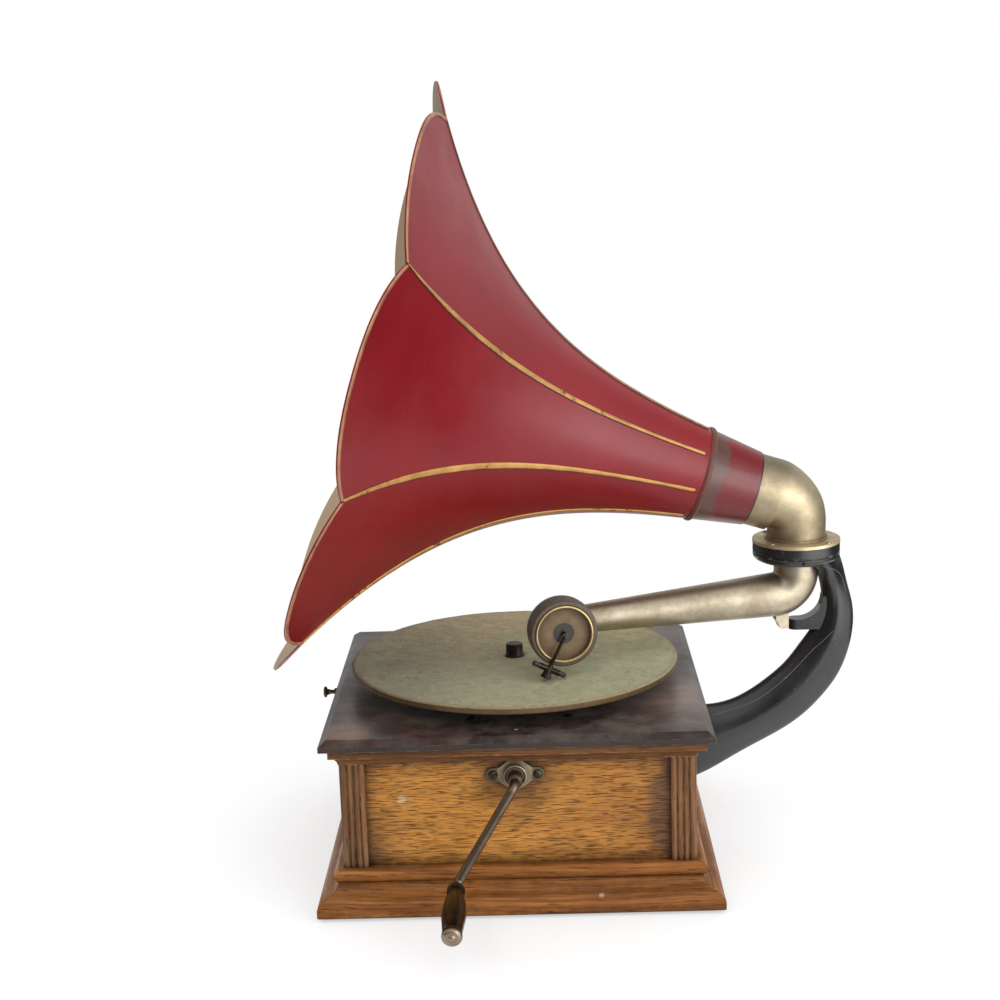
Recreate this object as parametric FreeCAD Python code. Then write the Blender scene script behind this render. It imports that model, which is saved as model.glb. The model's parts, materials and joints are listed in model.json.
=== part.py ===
import FreeCAD, Part
import math
import os

# Disc phonograph with a petalled horn: all sizes in millimetres, +Z up.
# The origin is the middle of the case's underside, the crank is on the -Y side
# and the horn's bracket on the +X side.

# Fits
RUN = 0.06                  # radial clearance of a shaft in its bearing
CLEAR = 0.3                 # room between pieces that pass each other

# Case
BOX_HALF = 147.5            # outer face of the four panels
PANEL_T = 12.0
PILASTER_PROUD = 7.5        # crown of the reeds beyond the panels
PILASTER_W = 22.3
REED_COUNT = 4
REED_DEPTH = 1.6
BASE_PROUD = 22.7           # plinth beyond the pilasters
BASE_H = 37.5
BOTTOM_INSET = 6.2          # bottom board behind the plinth
BOTTOM_T = 3.0
CORNICE_PROUD = 8.0         # cornice beyond the pilasters
CORNICE_H = 16.5
CORNICE_FILLET = 8.5        # upright band above the cove
CASE_TOP = 152.5            # underside of the top board
TOP_PROUD = 7.3             # top board beyond the cornice
TOP_LIP = 4.8
TOP_BEVEL_IN = 6.5
TOP_T = 9.7
PILASTER_HALF = BOX_HALF + PILASTER_PROUD
BASE_HALF = PILASTER_HALF + BASE_PROUD
BOTTOM_HALF = BASE_HALF - BOTTOM_INSET
CORNICE_HALF = PILASTER_HALF + CORNICE_PROUD
TOP_HALF = CORNICE_HALF + TOP_PROUD

# Round-head wood screws
SCREW_R = 1.8
SCREW_HEAD_R = 3.8
SCREW_HEAD_H = 2.3
SCREW_LENGTH = 14.0

# Turntable
SPINDLE_X = -1.6
SPINDLE_Y = -4.1
PLATTER_R = 152.4
PLATTER_T = 3.0
PLATTER_RIM_W = 5.0
PLATTER_RIM_H = 4.9
PLATTER_TOP = 183.1
HUB_R = 16.0
HUB_DROP = 12.0
FELT_T = 2.0
FELT_R = 152.0
CAP_R = 8.0
CAP_FLARE_R = 9.0
CAP_H = 13.4
SPINDLE_R = 4.0

# Spring motor, hung under the top board
PLATE_T = 3.0
PLATE_TOP_Z = 141.0         # upper face of the upper plate
PLATE_GAP = 77.0            # between the plates
PLATE_X0, PLATE_X1 = -64.0, 70.0
PLATE_ROOM = 9.5            # between the plates and the crank side's panel
PLATE_Y0, PLATE_Y1 = PANEL_T + PLATE_ROOM - BOX_HALF, 44.0
PILLAR_R = 5.0
PILLAR_INSET = 9.0
BOLT_R = 2.5
BOLT_INSET = 24.0
BUSH_R = 7.0
PRESSURE_ANGLE = 25.0
TOOTH_SLACK = 0.05          # flank relief, as a share of the module
PINION_TEETH = 12
GREAT_TEETH, GREAT_MODULE = 60, 1.6
FIRST_TEETH, FIRST_MODULE = 54, 1.2
SPEED_TEETH, SPEED_MODULE = 60, 1.0
WHEEL_T = 5.0
BARREL_Y = -70.0
BARREL_R = 44.0
BARREL_WALL = 2.0
BARREL_H = 31.0
GREAT_T = 6.0
ARBOR_R = 6.0
PIVOT_R = 2.5
GOVERNOR_Y = 20.0
GOVERNOR_DISC_R = 20.0
GOVERNOR_DISC_Z = 104.0
GOVERNOR_SHAFT_R = 2.5
GOVERNOR_WEIGHT_R = 6.0
BEVEL_MODULE = 1.75
BEVEL_WHEEL_TEETH = 24
BEVEL_FACE = 0.32           # face as a share of the cone distance
BEVEL_HUB_L = 8.0
LUG_T = 10.0                # bearing of the winding shaft
LUG_ROOM = 2.0

# Crank
CRANK_X, CRANK_Z = -2.1, 122.0
CRANK_ROD_R = 4.0
CRANK_COLLAR_R = 6.5
CRANK_REACH = 30.5          # the rod's knee in front of the panel
CRANK_RAKE = 12.0           # the handle's end of the rod in front of the knee
CRANK_KNEE_Y = -BOX_HALF - CRANK_REACH
CRANK_END_Y = CRANK_KNEE_Y - CRANK_RAKE
HANDLE_X, HANDLE_Z = -54.7, 37.5
HANDLE_LENGTH = 90.0
HANDLE_PIN_R = 3.0
HANDLE_R = 10.2
SHAFT_R = 4.5
ESCUTCHEON_T = 3.0
ESCUTCHEON_R = 13.6
EAR_SPACING = 39.0
EAR_R = 5.9
BOSS_R = 10.5
BOSS_H = 6.0
BOSS_DISH = 3.2             # recess in the boss round the crank's collar

# Bracket with the ring that carries horn and tone arm
RING_REACH = 114.8          # the ring's axis beyond the panel
RING_X = BOX_HALF + RING_REACH
RING_R = 40.0
RING_H = 17.0
RING_Z0 = 270.0
RING_Z1 = RING_Z0 + RING_H
RING_LEDGE = 5.0
RING_STEP = 4.3
RING_PLATE_T = 3.0
RING_PLATE_R = 40.3
FLANGE_T = 7.0
FLANGE_W, FLANGE_H = 70.0, 83.0
FLANGE_ROOM = 3.0           # under the cornice
FLANGE_Z1 = CASE_TOP - CORNICE_H - FLANGE_ROOM
FLANGE_Z0 = FLANGE_Z1 - FLANGE_H
TAB_DROP = 57.2             # the tab's upper face below the ring
TAB_T = 9.8
TAB_R = 7.4
HOLLOW_R = 21.7             # hollow between the tab and the arm
WELL_GAP = 4.0              # round the tone arm's stem, in the bracket
WELL_ROOM = 7.0             # below the tone arm's bend
TAB_Z1 = RING_Z0 - TAB_DROP
TAB_Z0 = TAB_Z1 - TAB_T

# Tone arm and sound box
ARM_SWING = 10.4            # degrees from -X towards -Y
ARM_SLOPE = 2.9             # degrees that the tube falls
ARM_LENGTH = 228.5
ARM_R1 = 11.7               # at the sound box
ARM_BEND_R = 22.0
ARM_STEM_L = 11.0           # straight stem below the ring
ARM_BEND_Z = RING_Z0 - ARM_STEM_L
ARM_STEM_R = 20.5
ARM_WALL = 1.6
ARM_FLANGE_R = 27.0
BOX_R = 30.5
BOX_BACK = 16.5             # from the arm's axis
BOX_FACE = 41.6
FACE_RING_R = 26.5
FACE_RING_W = 2.6
STYLUS_TILT = 27.0
STYLUS_REACH = 36.0
NEEDLE_R = 0.8
PIVOT_SPREAD = 10.6
CHUCK_R = 4.7
PIVOT_KNOB_L = 3.6
PIVOT_KNOB_R = 2.7

# Horn
ELBOW_BEND_R = 32.0
ELBOW_STEM_L = 11.3         # straight stem above the ring's plate
ELBOW_BEND_Z = RING_Z1 + RING_PLATE_T + ELBOW_STEM_L
ELBOW_LEG = 20.5
ELBOW_R0, ELBOW_R1 = 27.0, 33.4
ELBOW_WALL = 2.5
ELBOW_NECK_R = 28.4
ELBOW_FLANGE_R = 32.0
HORN_TILT = 17.9            # axis above the level
HORN_SWING = 2.7            # degrees from -X towards -Y
HORN_ROLL = 31.1            # first seam, from the near side upwards
PETALS = 8
SHEET_T = 1.2
THROAT_R = 34.6
THROAT_LENGTH = 50.0
THROAT_LAP = 8.0
COLLAR_W = 5.0
COLLAR_H = 2.0
FLARE_SLOPE = 0.155         # straight part of the flare, radius per length
FLARE_RISE = 159.6          # curved part of the flare at the cusps
FLARE_POWER = 3.5
BELL_LENGTH = 360.0         # throat to cusps, along the axis
PETAL_TIP = 17.3            # how far a petal's middle runs past the cusps
PETAL_TIP_POWER = 2.3
PETAL_CROWN_0, PETAL_CROWN_1 = 0.076, 0.046
LAY = 0.15                  # seams and hems lie this far off the sheet
SEAM_W = 5.4
SEAM_H = 1.3
HEM_W = 3.0
HEM_H = 1.1

# Brake: a pull rod whose pad holds the governor disc
BRAKE_Y = 12.0
BRAKE_DROP = 4.5            # rod's axis below the top board
BRAKE_Z = CASE_TOP - BRAKE_DROP
BRAKE_ROD_R = 2.0
BRAKE_BUSH_R = 3.5
BRAKE_BUSH_OUT = 4.5        # the bush beyond the top board's edge
BRAKE_KNOB_OUT = 10.0       # the knob's face beyond the bush
BRAKE_BUSH_X = -TOP_HALF - BRAKE_BUSH_OUT
BRAKE_KNOB_X = BRAKE_BUSH_X - BRAKE_KNOB_OUT
BRAKE_ARM_T = 2.0

V = FreeCAD.Vector
X_AXIS, Y_AXIS, Z_AXIS = V(1, 0, 0), V(0, 1, 0), V(0, 0, 1)


def box(x0, x1, y0, y1, z0, z1):
    return Part.makeBox(x1 - x0, y1 - y0, z1 - z0, V(x0, y0, z0))


def rod(radius, start, end):
    """Round bar between two points."""
    run = end.sub(start)
    return Part.makeCylinder(radius, run.Length, start, run)


def outline(start, *steps):
    """Closed face in the XZ plane; a step is a point, or (middle, end) of an arc."""
    edges = []
    here = start
    for step in steps + (start,):
        if isinstance(step[0], tuple):
            middle, end = step
            arc = Part.Arc(*[V(x, 0, z) for x, z in (here, middle, end)])
            edges.append(arc.toShape())
        else:
            end = step
            if math.dist(here, end) > 1e-6:
                edges.append(Part.makeLine(V(here[0], 0, here[1]), V(end[0], 0, end[1])))
        here = end
    return Part.Face(Part.Wire(edges))


def dome(radius, base, height):
    """Arc step from a rim at a base height up to the crown on the axis."""
    ball = (radius ** 2 + height ** 2) / (2 * height)
    part_way = 0.6 * radius
    rise = height - ball + math.sqrt(ball ** 2 - part_way ** 2)
    return (part_way, base + rise), (0, base + height)


def turned(profile, origin=V(0, 0, 0), axis=Z_AXIS):
    """Solid of revolution: the profile's x is the radius and its z the height along the axis."""
    solid = profile.revolve(V(0, 0, 0), Z_AXIS, 360)
    solid.Placement = FreeCAD.Placement(origin, FreeCAD.Rotation(Z_AXIS, axis))
    return solid


def slab(points, z0, z1):
    """Upright prism on a polygon."""
    wire = Part.makePolygon([V(x, y, z0) for x, y in points + points[:1]])
    return Part.Face(wire).extrude(V(0, 0, z1 - z0))


def turn(shape, angle, centre, axis=Z_AXIS):
    copy = shape.copy()
    copy.rotate(centre, axis, angle)
    return copy


def bent_rod(radius, points, bend):
    """Round rod along straight runs joined by arcs of one radius."""
    edges = []
    here = points[0]
    for before, corner, after in zip(points, points[1:], points[2:]):
        into = corner.sub(before).normalize()
        out = after.sub(corner).normalize()
        setback = bend * math.tan(into.getAngle(out) / 2)
        start = corner.sub(into * setback)
        end = corner.add(out * setback)
        inward = out.sub(into).normalize()
        deep = bend / math.cos(into.getAngle(out) / 2) - bend
        middle = corner.add(inward * deep)
        edges.append(Part.makeLine(here, start))
        edges.append(Part.Arc(start, middle, end).toShape())
        here = end
    edges.append(Part.makeLine(here, points[-1]))
    path = Part.Wire(edges)
    along = points[1].sub(points[0])
    section = Part.Wire(Part.makeCircle(radius, points[0], along))
    return path.makePipeShell([section], True, False)


def export(name, *solids):
    shape = solids[0] if len(solids) == 1 else Part.makeCompound(list(solids))
    shape.exportStep("parts/" + name + ".step")


# Gears

def gear_outline(teeth, module):
    """Points of an involute spur gear with a tooth pointing along +X."""
    pitch = module * teeth / 2
    tilt = math.radians(PRESSURE_ANGLE)
    base = pitch * math.cos(tilt)
    tip = pitch + module
    root = pitch - 1.25 * module
    half = math.pi / (2 * teeth) - TOOTH_SLACK * module / pitch

    def flank(radius):
        lean = math.acos(min(1.0, base / radius))
        return half + math.tan(tilt) - tilt - (math.tan(lean) - lean)

    stations = [root, base, pitch, tip] if base > root else [root, pitch, tip]
    left = [(r, -flank(max(r, base))) for r in stations]
    right = [(r, -a) for r, a in reversed(left)]
    points = []
    for tooth in range(teeth):
        middle = 2 * math.pi * tooth / teeth
        points += [(r * math.cos(middle + a), r * math.sin(middle + a)) for r, a in left + right]
    return points


def spur_gear(teeth, module, z0, z1, centre, angle):
    """Spur gear about a vertical axis, turned by an angle in degrees."""
    gear = slab(gear_outline(teeth, module), z0, z1)
    gear.translate(V(centre[0], centre[1], 0))
    return turn(gear, angle, V(centre[0], centre[1], 0))


def bearing_of(start, end):
    return math.degrees(math.atan2(end[1] - start[1], end[0] - start[0]))


def gap_facing(teeth, heading):
    """Turn that sets a gap of the gear towards the heading."""
    return heading - 180.0 / teeth


def spoked(gear, centre, z0, z1, hub, rim, count):
    """Gear wheel with round lightening holes."""
    ring = (hub + rim) / 2
    hole = (rim - hub) / 2 - 2.5
    for k in range(count):
        a = 2 * math.pi * k / count
        at = V(centre[0] + ring * math.cos(a), centre[1] + ring * math.sin(a), z0 - 1)
        gear = gear.cut(Part.makeCylinder(hole, z1 - z0 + 2, at))
    return gear


def bevel_gear(teeth, mate, module, slack):
    """Straight bevel gear: apex at the origin, large end at +Z, a tooth pointing along +X."""
    pitch_cone = math.atan2(teeth, mate)
    reach = module * math.hypot(teeth, mate) / 2
    depth = module * mate / 2
    rise, drop = 0.8 * module, 1.1 * module
    lean = math.tan(math.radians(PRESSURE_ANGLE))
    thick = math.pi * module / 4 - slack
    rows = []
    root_half = thick + drop * lean - slack
    tip_half = thick - rise * lean - slack
    for height, half in ((-drop, root_half), (0.0, thick), (rise, tip_half)):
        cone = pitch_cone + height / reach
        rows.append((depth * math.tan(cone), half / (reach * math.sin(cone))))
    left = [(r, -a) for r, a in rows]
    right = [(r, a) for r, a in reversed(rows)]
    points = []
    for tooth in range(teeth):
        middle = 2 * math.pi * tooth / teeth
        points += [(r * math.cos(middle + a), r * math.sin(middle + a)) for r, a in left + right]
    small = 1 - BEVEL_FACE
    large_end = Part.makePolygon([V(x, y, depth) for x, y in points + points[:1]])
    small_end = Part.makePolygon([V(x * small, y * small, depth * small) for x, y in points + points[:1]])
    return Part.makeLoft([small_end, large_end], True, True)


# Case

def mitred(profile):
    """One of four mitred lengths, on the +X side, from a profile of half width over height."""
    length = 2 * TOP_HALF + 2 * BASE_HALF
    bar = profile.extrude(V(0, length, 0))
    bar.translate(V(0, -length / 2, 0))
    reach = 2 * BASE_HALF
    wedge = slab([(0, 0), (reach, -reach), (reach, reach)], -1, 2 * CASE_TOP)
    return bar.common(wedge)


def four_sides(piece):
    return [turn(piece, 90 * k, V(0, 0, 0)) for k in range(4)]


def build_case():
    base_top = BOTTOM_T + BASE_H
    cornice_bottom = CASE_TOP - CORNICE_H
    cove_top = CASE_TOP - CORNICE_FILLET
    torus = PILASTER_HALF + 6.2
    base = outline(
        (BOX_HALF, BOTTOM_T), (BASE_HALF, BOTTOM_T), (BASE_HALF, BOTTOM_T + 4.6),
        ((BASE_HALF - 2.5, BOTTOM_T + 12.6), (BASE_HALF - 8.7, BOTTOM_T + 16.0)),
        ((torus + 1.5, BOTTOM_T + 19.2), (torus - 1.6, BOTTOM_T + 25.8)),
        (torus, BOTTOM_T + 27.3),
        ((torus + 2.2, BOTTOM_T + 32.5), (torus - 3.2, base_top)),
        (BOX_HALF, base_top))
    cornice = outline(
        (BOX_HALF, cornice_bottom), (PILASTER_HALF + 0.3, cornice_bottom),
        ((PILASTER_HALF + 2.6, cove_top - 2.5), (CORNICE_HALF, cove_top)),
        (CORNICE_HALF, CASE_TOP), (BOX_HALF, CASE_TOP))
    bush_hole = rod(BRAKE_BUSH_R, V(-BASE_HALF, BRAKE_Y, BRAKE_Z), V(0, BRAKE_Y, BRAKE_Z))
    export("base_mouldings", *four_sides(mitred(base)))
    export("cornice_mouldings", *[side.cut(bush_hole) for side in four_sides(mitred(cornice))])

    inner = BOX_HALF - PANEL_T
    shaft_hole = rod(BOSS_R - 2, V(CRANK_X, -BASE_HALF, CRANK_Z), V(CRANK_X, 0, CRANK_Z))
    ear_holes = [rod(SCREW_R, V(x, -BASE_HALF, CRANK_Z), V(x, -inner, CRANK_Z)) for x in ear_places()]
    front = box(-BOX_HALF, BOX_HALF, -BOX_HALF, -inner, BOTTOM_T, CASE_TOP)
    back = box(-BOX_HALF, BOX_HALF, inner, BOX_HALF, BOTTOM_T, CASE_TOP)
    left = box(-BOX_HALF, -inner, -inner, inner, BOTTOM_T, CASE_TOP)
    right = box(inner, BOX_HALF, -inner, inner, BOTTOM_T, CASE_TOP)
    flange_holes = [rod(SCREW_R, V(inner, y, z), V(BASE_HALF, y, z)) for y, z in flange_screw_places()]
    export("panel_crank_side", front.cut(shaft_hole).cut(Part.makeCompound(ear_holes)))
    export("panel_far_side", back)
    export("panel_knob_side", left.cut(bush_hole))
    export("panel_bracket_side", right.cut(Part.makeCompound(flange_holes)))
    export("bottom_board", box(-BOTTOM_HALF, BOTTOM_HALF, -BOTTOM_HALF, BOTTOM_HALF, 0, BOTTOM_T))
    export("corner_pilasters", *four_sides(pilaster(base_top, cornice_bottom)))

    top_face = CASE_TOP + TOP_T
    bevel_half = TOP_HALF - TOP_BEVEL_IN
    lip = box(-TOP_HALF, TOP_HALF, -TOP_HALF, TOP_HALF, CASE_TOP, CASE_TOP + TOP_LIP)
    corners = [(-1, -1), (1, -1), (1, 1), (-1, 1), (-1, -1)]
    low = Part.makePolygon([V(x * TOP_HALF, y * TOP_HALF, CASE_TOP + TOP_LIP) for x, y in corners])
    high = Part.makePolygon([V(x * bevel_half, y * bevel_half, top_face) for x, y in corners])
    board = lip.fuse(Part.makeLoft([low, high], True, True))
    board = board.cut(Part.makeCylinder(SPINDLE_R + 4, 2 * TOP_T, V(SPINDLE_X, SPINDLE_Y, CASE_TOP - 1)))
    for x, y in bolt_places():
        board = board.cut(Part.makeCylinder(BOLT_R, 2 * TOP_T, V(x, y, CASE_TOP - 1)))
    export("top_board", board.removeSplitter())


def pilaster(z0, z1):
    """Corner piece of L section whose two outer faces carry upright reeds."""
    crown = PILASTER_HALF
    seat = PILASTER_HALF - REED_DEPTH
    edge = PILASTER_HALF - PILASTER_W
    pitch = (seat - edge) / REED_COUNT
    edges = []

    def line(a, b):
        edges.append(Part.makeLine(V(a[0], a[1], z0), V(b[0], b[1], z0)))

    def reed(a, m, b):
        edges.append(Part.Arc(*[V(x, y, z0) for x, y in (a, m, b)]).toShape())

    line((BOX_HALF, edge), (seat, edge))
    for k in range(REED_COUNT):
        a = edge + pitch * k
        reed((seat, a), (crown, a + pitch / 2), (seat, a + pitch))
    for k in reversed(range(REED_COUNT)):
        a = edge + pitch * k
        reed((a + pitch, seat), (a + pitch / 2, crown), (a, seat))
    line((edge, seat), (edge, BOX_HALF))
    line((edge, BOX_HALF), (BOX_HALF, BOX_HALF))
    line((BOX_HALF, BOX_HALF), (BOX_HALF, edge))
    return Part.Face(Part.Wire(edges)).extrude(V(0, 0, z1 - z0))


# Turntable and its spindle

def build_turntable():
    at = V(SPINDLE_X, SPINDLE_Y, 0)
    under = PLATTER_TOP - PLATTER_T
    rim_low = PLATTER_TOP - PLATTER_RIM_H
    platter = outline(
        (SPINDLE_R, under - HUB_DROP), (HUB_R - 5, under - HUB_DROP), (HUB_R, under),
        (PLATTER_R - PLATTER_RIM_W, under), (PLATTER_R - PLATTER_RIM_W, rim_low),
        (PLATTER_R - 1.2, rim_low),
        ((PLATTER_R - 0.35, rim_low + 0.35), (PLATTER_R, rim_low + 1.2)),
        (PLATTER_R, PLATTER_TOP), (SPINDLE_R, PLATTER_TOP))
    export("turntable_plate", turned(platter, at))
    felt_hole = CAP_FLARE_R + 0.4
    felt = outline((felt_hole, PLATTER_TOP), (FELT_R, PLATTER_TOP), (FELT_R, PLATTER_TOP + FELT_T),
                   (felt_hole, PLATTER_TOP + FELT_T))
    export("turntable_felt", turned(felt, at))
    spindle_top = PLATTER_TOP + CAP_H - 3
    cap_top = PLATTER_TOP + CAP_H
    cap = outline(
        (SPINDLE_R, PLATTER_TOP), (CAP_FLARE_R, PLATTER_TOP), (CAP_FLARE_R, PLATTER_TOP + 1.4),
        (CAP_R, PLATTER_TOP + 3.2), (CAP_R, cap_top - 1.4),
        ((CAP_R - 0.4, cap_top - 0.4), (CAP_R - 1.4, cap_top)),
        (0, cap_top), (0, spindle_top), (SPINDLE_R, spindle_top))
    export("spindle_cap", turned(cap, at))

    bottom = plate_low()
    seat = under - HUB_DROP
    shaft = outline(
        (0, bottom + 0.8), (PIVOT_R, bottom + 0.8), (PIVOT_R, bottom + PLATE_T + 0.3),
        (SPINDLE_R + 1, bottom + PLATE_T + 0.3), (SPINDLE_R + 1, first_wheel_z() - 3),
        (SPINDLE_R, first_wheel_z() - 3), (SPINDLE_R, seat - 3), (SPINDLE_R + 2.5, seat - 3),
        (SPINDLE_R + 2.5, seat), (SPINDLE_R, seat), (SPINDLE_R, spindle_top), (0, spindle_top))
    heading = bearing_of(first_arbor_place(), (SPINDLE_X, SPINDLE_Y))
    pinion = spur_gear(PINION_TEETH, FIRST_MODULE, first_wheel_z() - 1.5, first_wheel_z() + WHEEL_T + 1.5,
                       (SPINDLE_X, SPINDLE_Y), gap_facing(PINION_TEETH, heading + 180))
    export("spindle", turned(shaft, at).fuse(pinion).removeSplitter())
    z0 = speed_wheel_z()
    spindle = (SPINDLE_X, SPINDLE_Y)
    heading = bearing_of(spindle, governor_place())
    wheel = spur_gear(SPEED_TEETH, SPEED_MODULE, z0, z0 + WHEEL_T - 1, spindle, heading)
    wheel = spoked(wheel, spindle, z0, z0 + WHEEL_T, 9.0, SPEED_TEETH * SPEED_MODULE / 2 - 2.5, 5)
    hub = Part.makeCylinder(9.0, WHEEL_T + 2, V(SPINDLE_X, SPINDLE_Y, z0 - 2))
    bore = Part.makeCylinder(SPINDLE_R, PLATE_GAP, V(SPINDLE_X, SPINDLE_Y, plate_low() + PLATE_T))
    export("spindle_wheel", wheel.fuse(hub).cut(bore).removeSplitter())


# Spring motor

def first_wheel_z():
    return barrel_top() + 3.0


def speed_wheel_z():
    return first_wheel_z() + WHEEL_T + 11.0


def plate_low():
    return PLATE_TOP_Z - PLATE_GAP - 2 * PLATE_T


def barrel_floor():
    return plate_low() + PLATE_T + 3.0


def barrel_top():
    return barrel_floor() + GREAT_T + BARREL_H + 2.0


def barrel_place():
    return (CRANK_X, BARREL_Y)


def first_arbor_place():
    """Where the first arbor meshes with both the great wheel and the spindle's pinion."""
    a = (GREAT_TEETH + PINION_TEETH) * GREAT_MODULE / 2
    b = (FIRST_TEETH + PINION_TEETH) * FIRST_MODULE / 2
    x0, y0 = barrel_place()
    dx, dy = SPINDLE_X - x0, SPINDLE_Y - y0
    span = math.hypot(dx, dy)
    along = (a * a - b * b + span * span) / (2 * span)
    aside = math.sqrt(a * a - along * along)
    return (x0 + (along * dx + aside * dy) / span, y0 + (along * dy - aside * dx) / span)


def governor_place():
    mesh = (SPEED_TEETH + PINION_TEETH) * SPEED_MODULE / 2
    dy = GOVERNOR_Y - SPINDLE_Y
    return (SPINDLE_X - math.sqrt(mesh * mesh - dy * dy), GOVERNOR_Y)


def pinion_end():
    """Large end of the winding shaft's bevel pinion."""
    return BARREL_Y - BEVEL_MODULE * BEVEL_WHEEL_TEETH / 2


def corner_places(inset):
    return [(x, y) for x in (PLATE_X0 + inset, PLATE_X1 - inset)
            for y in (PLATE_Y0 + inset, PLATE_Y1 - inset)]


def bolt_places():
    return [(x, y) for x in (PLATE_X0 + BOLT_INSET, PLATE_X1 - BOLT_INSET)
            for y in (PLATE_Y0 + PILLAR_INSET, PLATE_Y1 - PILLAR_INSET)]


def build_motor():
    low, high = plate_low(), PLATE_TOP_Z - PLATE_T
    pivots = [(barrel_place(), PIVOT_R + 1.5), (first_arbor_place(), PIVOT_R),
              (governor_place(), PIVOT_R - 1)]
    for name, z in (("motor_top_plate", high), ("motor_bottom_plate", low)):
        plate = box(PLATE_X0, PLATE_X1, PLATE_Y0, PLATE_Y1, z, z + PLATE_T)
        upright = [edge for edge in plate.Edges if abs(edge.tangentAt(0).z) > 0.9]
        plate = plate.makeFillet(6.0, upright)
        spindle_r = SPINDLE_R if name == "motor_top_plate" else PIVOT_R
        for (x, y), r in pivots + [((SPINDLE_X, SPINDLE_Y), spindle_r)]:
            plate = plate.cut(Part.makeCylinder(r + RUN, PLATE_T, V(x, y, z)))
        for x, y in corner_places(PILLAR_INSET):
            plate = plate.cut(Part.makeCylinder(PILLAR_R - 2, PLATE_T, V(x, y, z)))
        if name == "motor_top_plate":
            for x, y in bolt_places():
                plate = plate.cut(Part.makeCylinder(BOLT_R, PLATE_T, V(x, y, z)))
            notch_end = governor_place()[0] - GOVERNOR_DISC_R + 4
            notch = box(PLATE_X0 - 1, notch_end, BRAKE_Y - 10, BRAKE_Y + 18, z - 1, z + PLATE_T + 1)
            plate = plate.cut(notch)
            lug_end = pinion_end() - BEVEL_HUB_L - LUG_ROOM
            lug = box(CRANK_X - 9, CRANK_X + 9, lug_end - LUG_T, lug_end, CRANK_Z - 9, z)
            bore = rod(SHAFT_R + RUN, V(CRANK_X, -BOX_HALF, CRANK_Z), V(CRANK_X, BARREL_Y, CRANK_Z))
            plate = plate.fuse(lug).cut(bore).removeSplitter()
        export(name, plate)
    pillar = outline(
        (0, low - 1.5), (PILLAR_R - 1, low - 1.5), (PILLAR_R - 1, low), (PILLAR_R - 2, low),
        (PILLAR_R - 2, low + PLATE_T), (PILLAR_R, low + PLATE_T), (PILLAR_R, high), (PILLAR_R - 2, high),
        (PILLAR_R - 2, PLATE_TOP_Z), (PILLAR_R - 1, PLATE_TOP_Z), (PILLAR_R - 1, PLATE_TOP_Z + 1.5),
        (0, PLATE_TOP_Z + 1.5))
    export("motor_pillars", *[turned(pillar, V(x, y, 0)) for x, y in corner_places(PILLAR_INSET)])
    head = CASE_TOP + TOP_T
    bolt = outline(
        (0, high - 2), (BOLT_R, high - 2), (BOLT_R, head), (2 * BOLT_R, head),
        dome(2 * BOLT_R, head, 2.6))
    export("hanger_bolts", *[turned(bolt, V(x, y, 0)) for x, y in bolt_places()])
    bush = outline((BOLT_R, PLATE_TOP_Z), (BUSH_R, PLATE_TOP_Z), (BUSH_R, CASE_TOP), (BOLT_R, CASE_TOP))
    export("hanger_bushes", *[turned(bush, V(x, y, 0)) for x, y in bolt_places()])
    build_barrel(low, high)
    build_first_arbor(low, high)
    build_governor(low, high)


def build_barrel(low, high):
    x, y = barrel_place()
    at = V(x, y, 0)
    floor = barrel_floor()
    wall_top = floor + GREAT_T + BARREL_H
    heading = bearing_of(barrel_place(), first_arbor_place())
    gear = spur_gear(GREAT_TEETH, GREAT_MODULE, floor, floor + GREAT_T, (x, y), heading)
    inside = BARREL_R - BARREL_WALL
    wall = outline((inside, floor + GREAT_T), (BARREL_R, floor + GREAT_T), (BARREL_R, wall_top),
                   (inside, wall_top))
    bore = Part.makeCylinder(ARBOR_R + RUN, 2 * BARREL_H, V(x, y, floor - 1))
    export("spring_barrel", gear.fuse(turned(wall, at)).cut(bore).removeSplitter())
    cover = outline((ARBOR_R + RUN, wall_top), (BARREL_R, wall_top), (BARREL_R, wall_top + 2.0),
                    (ARBOR_R + RUN, wall_top + 2.0))
    export("barrel_cover", turned(cover, at))
    coil_in, coil_low, coil_high = BARREL_R - 18, floor + GREAT_T + 0.5, wall_top - 0.5
    spring = outline((coil_in, coil_low), (inside - 0.05, coil_low), (inside - 0.05, coil_high),
                     (coil_in, coil_high))
    export("mainspring", turned(spring, at))
    pivot = PIVOT_R + 1.5
    arbor = outline(
        (0, low), (pivot, low), (pivot, low + PLATE_T + 0.3), (ARBOR_R, low + PLATE_T + 0.3),
        (ARBOR_R, high - 0.3), (pivot, high - 0.3), (pivot, high + PLATE_T), (0, high + PLATE_T))
    export("barrel_arbor", turned(arbor, at))

    apex = V(x, y, CRANK_Z)
    crown = bevel_gear(BEVEL_WHEEL_TEETH, PINION_TEETH, BEVEL_MODULE, 0.14)
    crown = turn(crown, 180, V(0, 0, 0), X_AXIS)
    crown.translate(apex)
    crown_z = CRANK_Z - BEVEL_MODULE * PINION_TEETH / 2
    hub = Part.makeCylinder(14.0, crown_z - barrel_top() - 0.6, V(x, y, barrel_top() + 0.6))
    hole = Part.makeCylinder(ARBOR_R, PLATE_GAP, V(x, y, low + PLATE_T))
    crown = turn(crown, gap_facing(BEVEL_WHEEL_TEETH, -90), apex)
    export("winding_wheel", crown.fuse(hub).cut(hole).removeSplitter())


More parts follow.
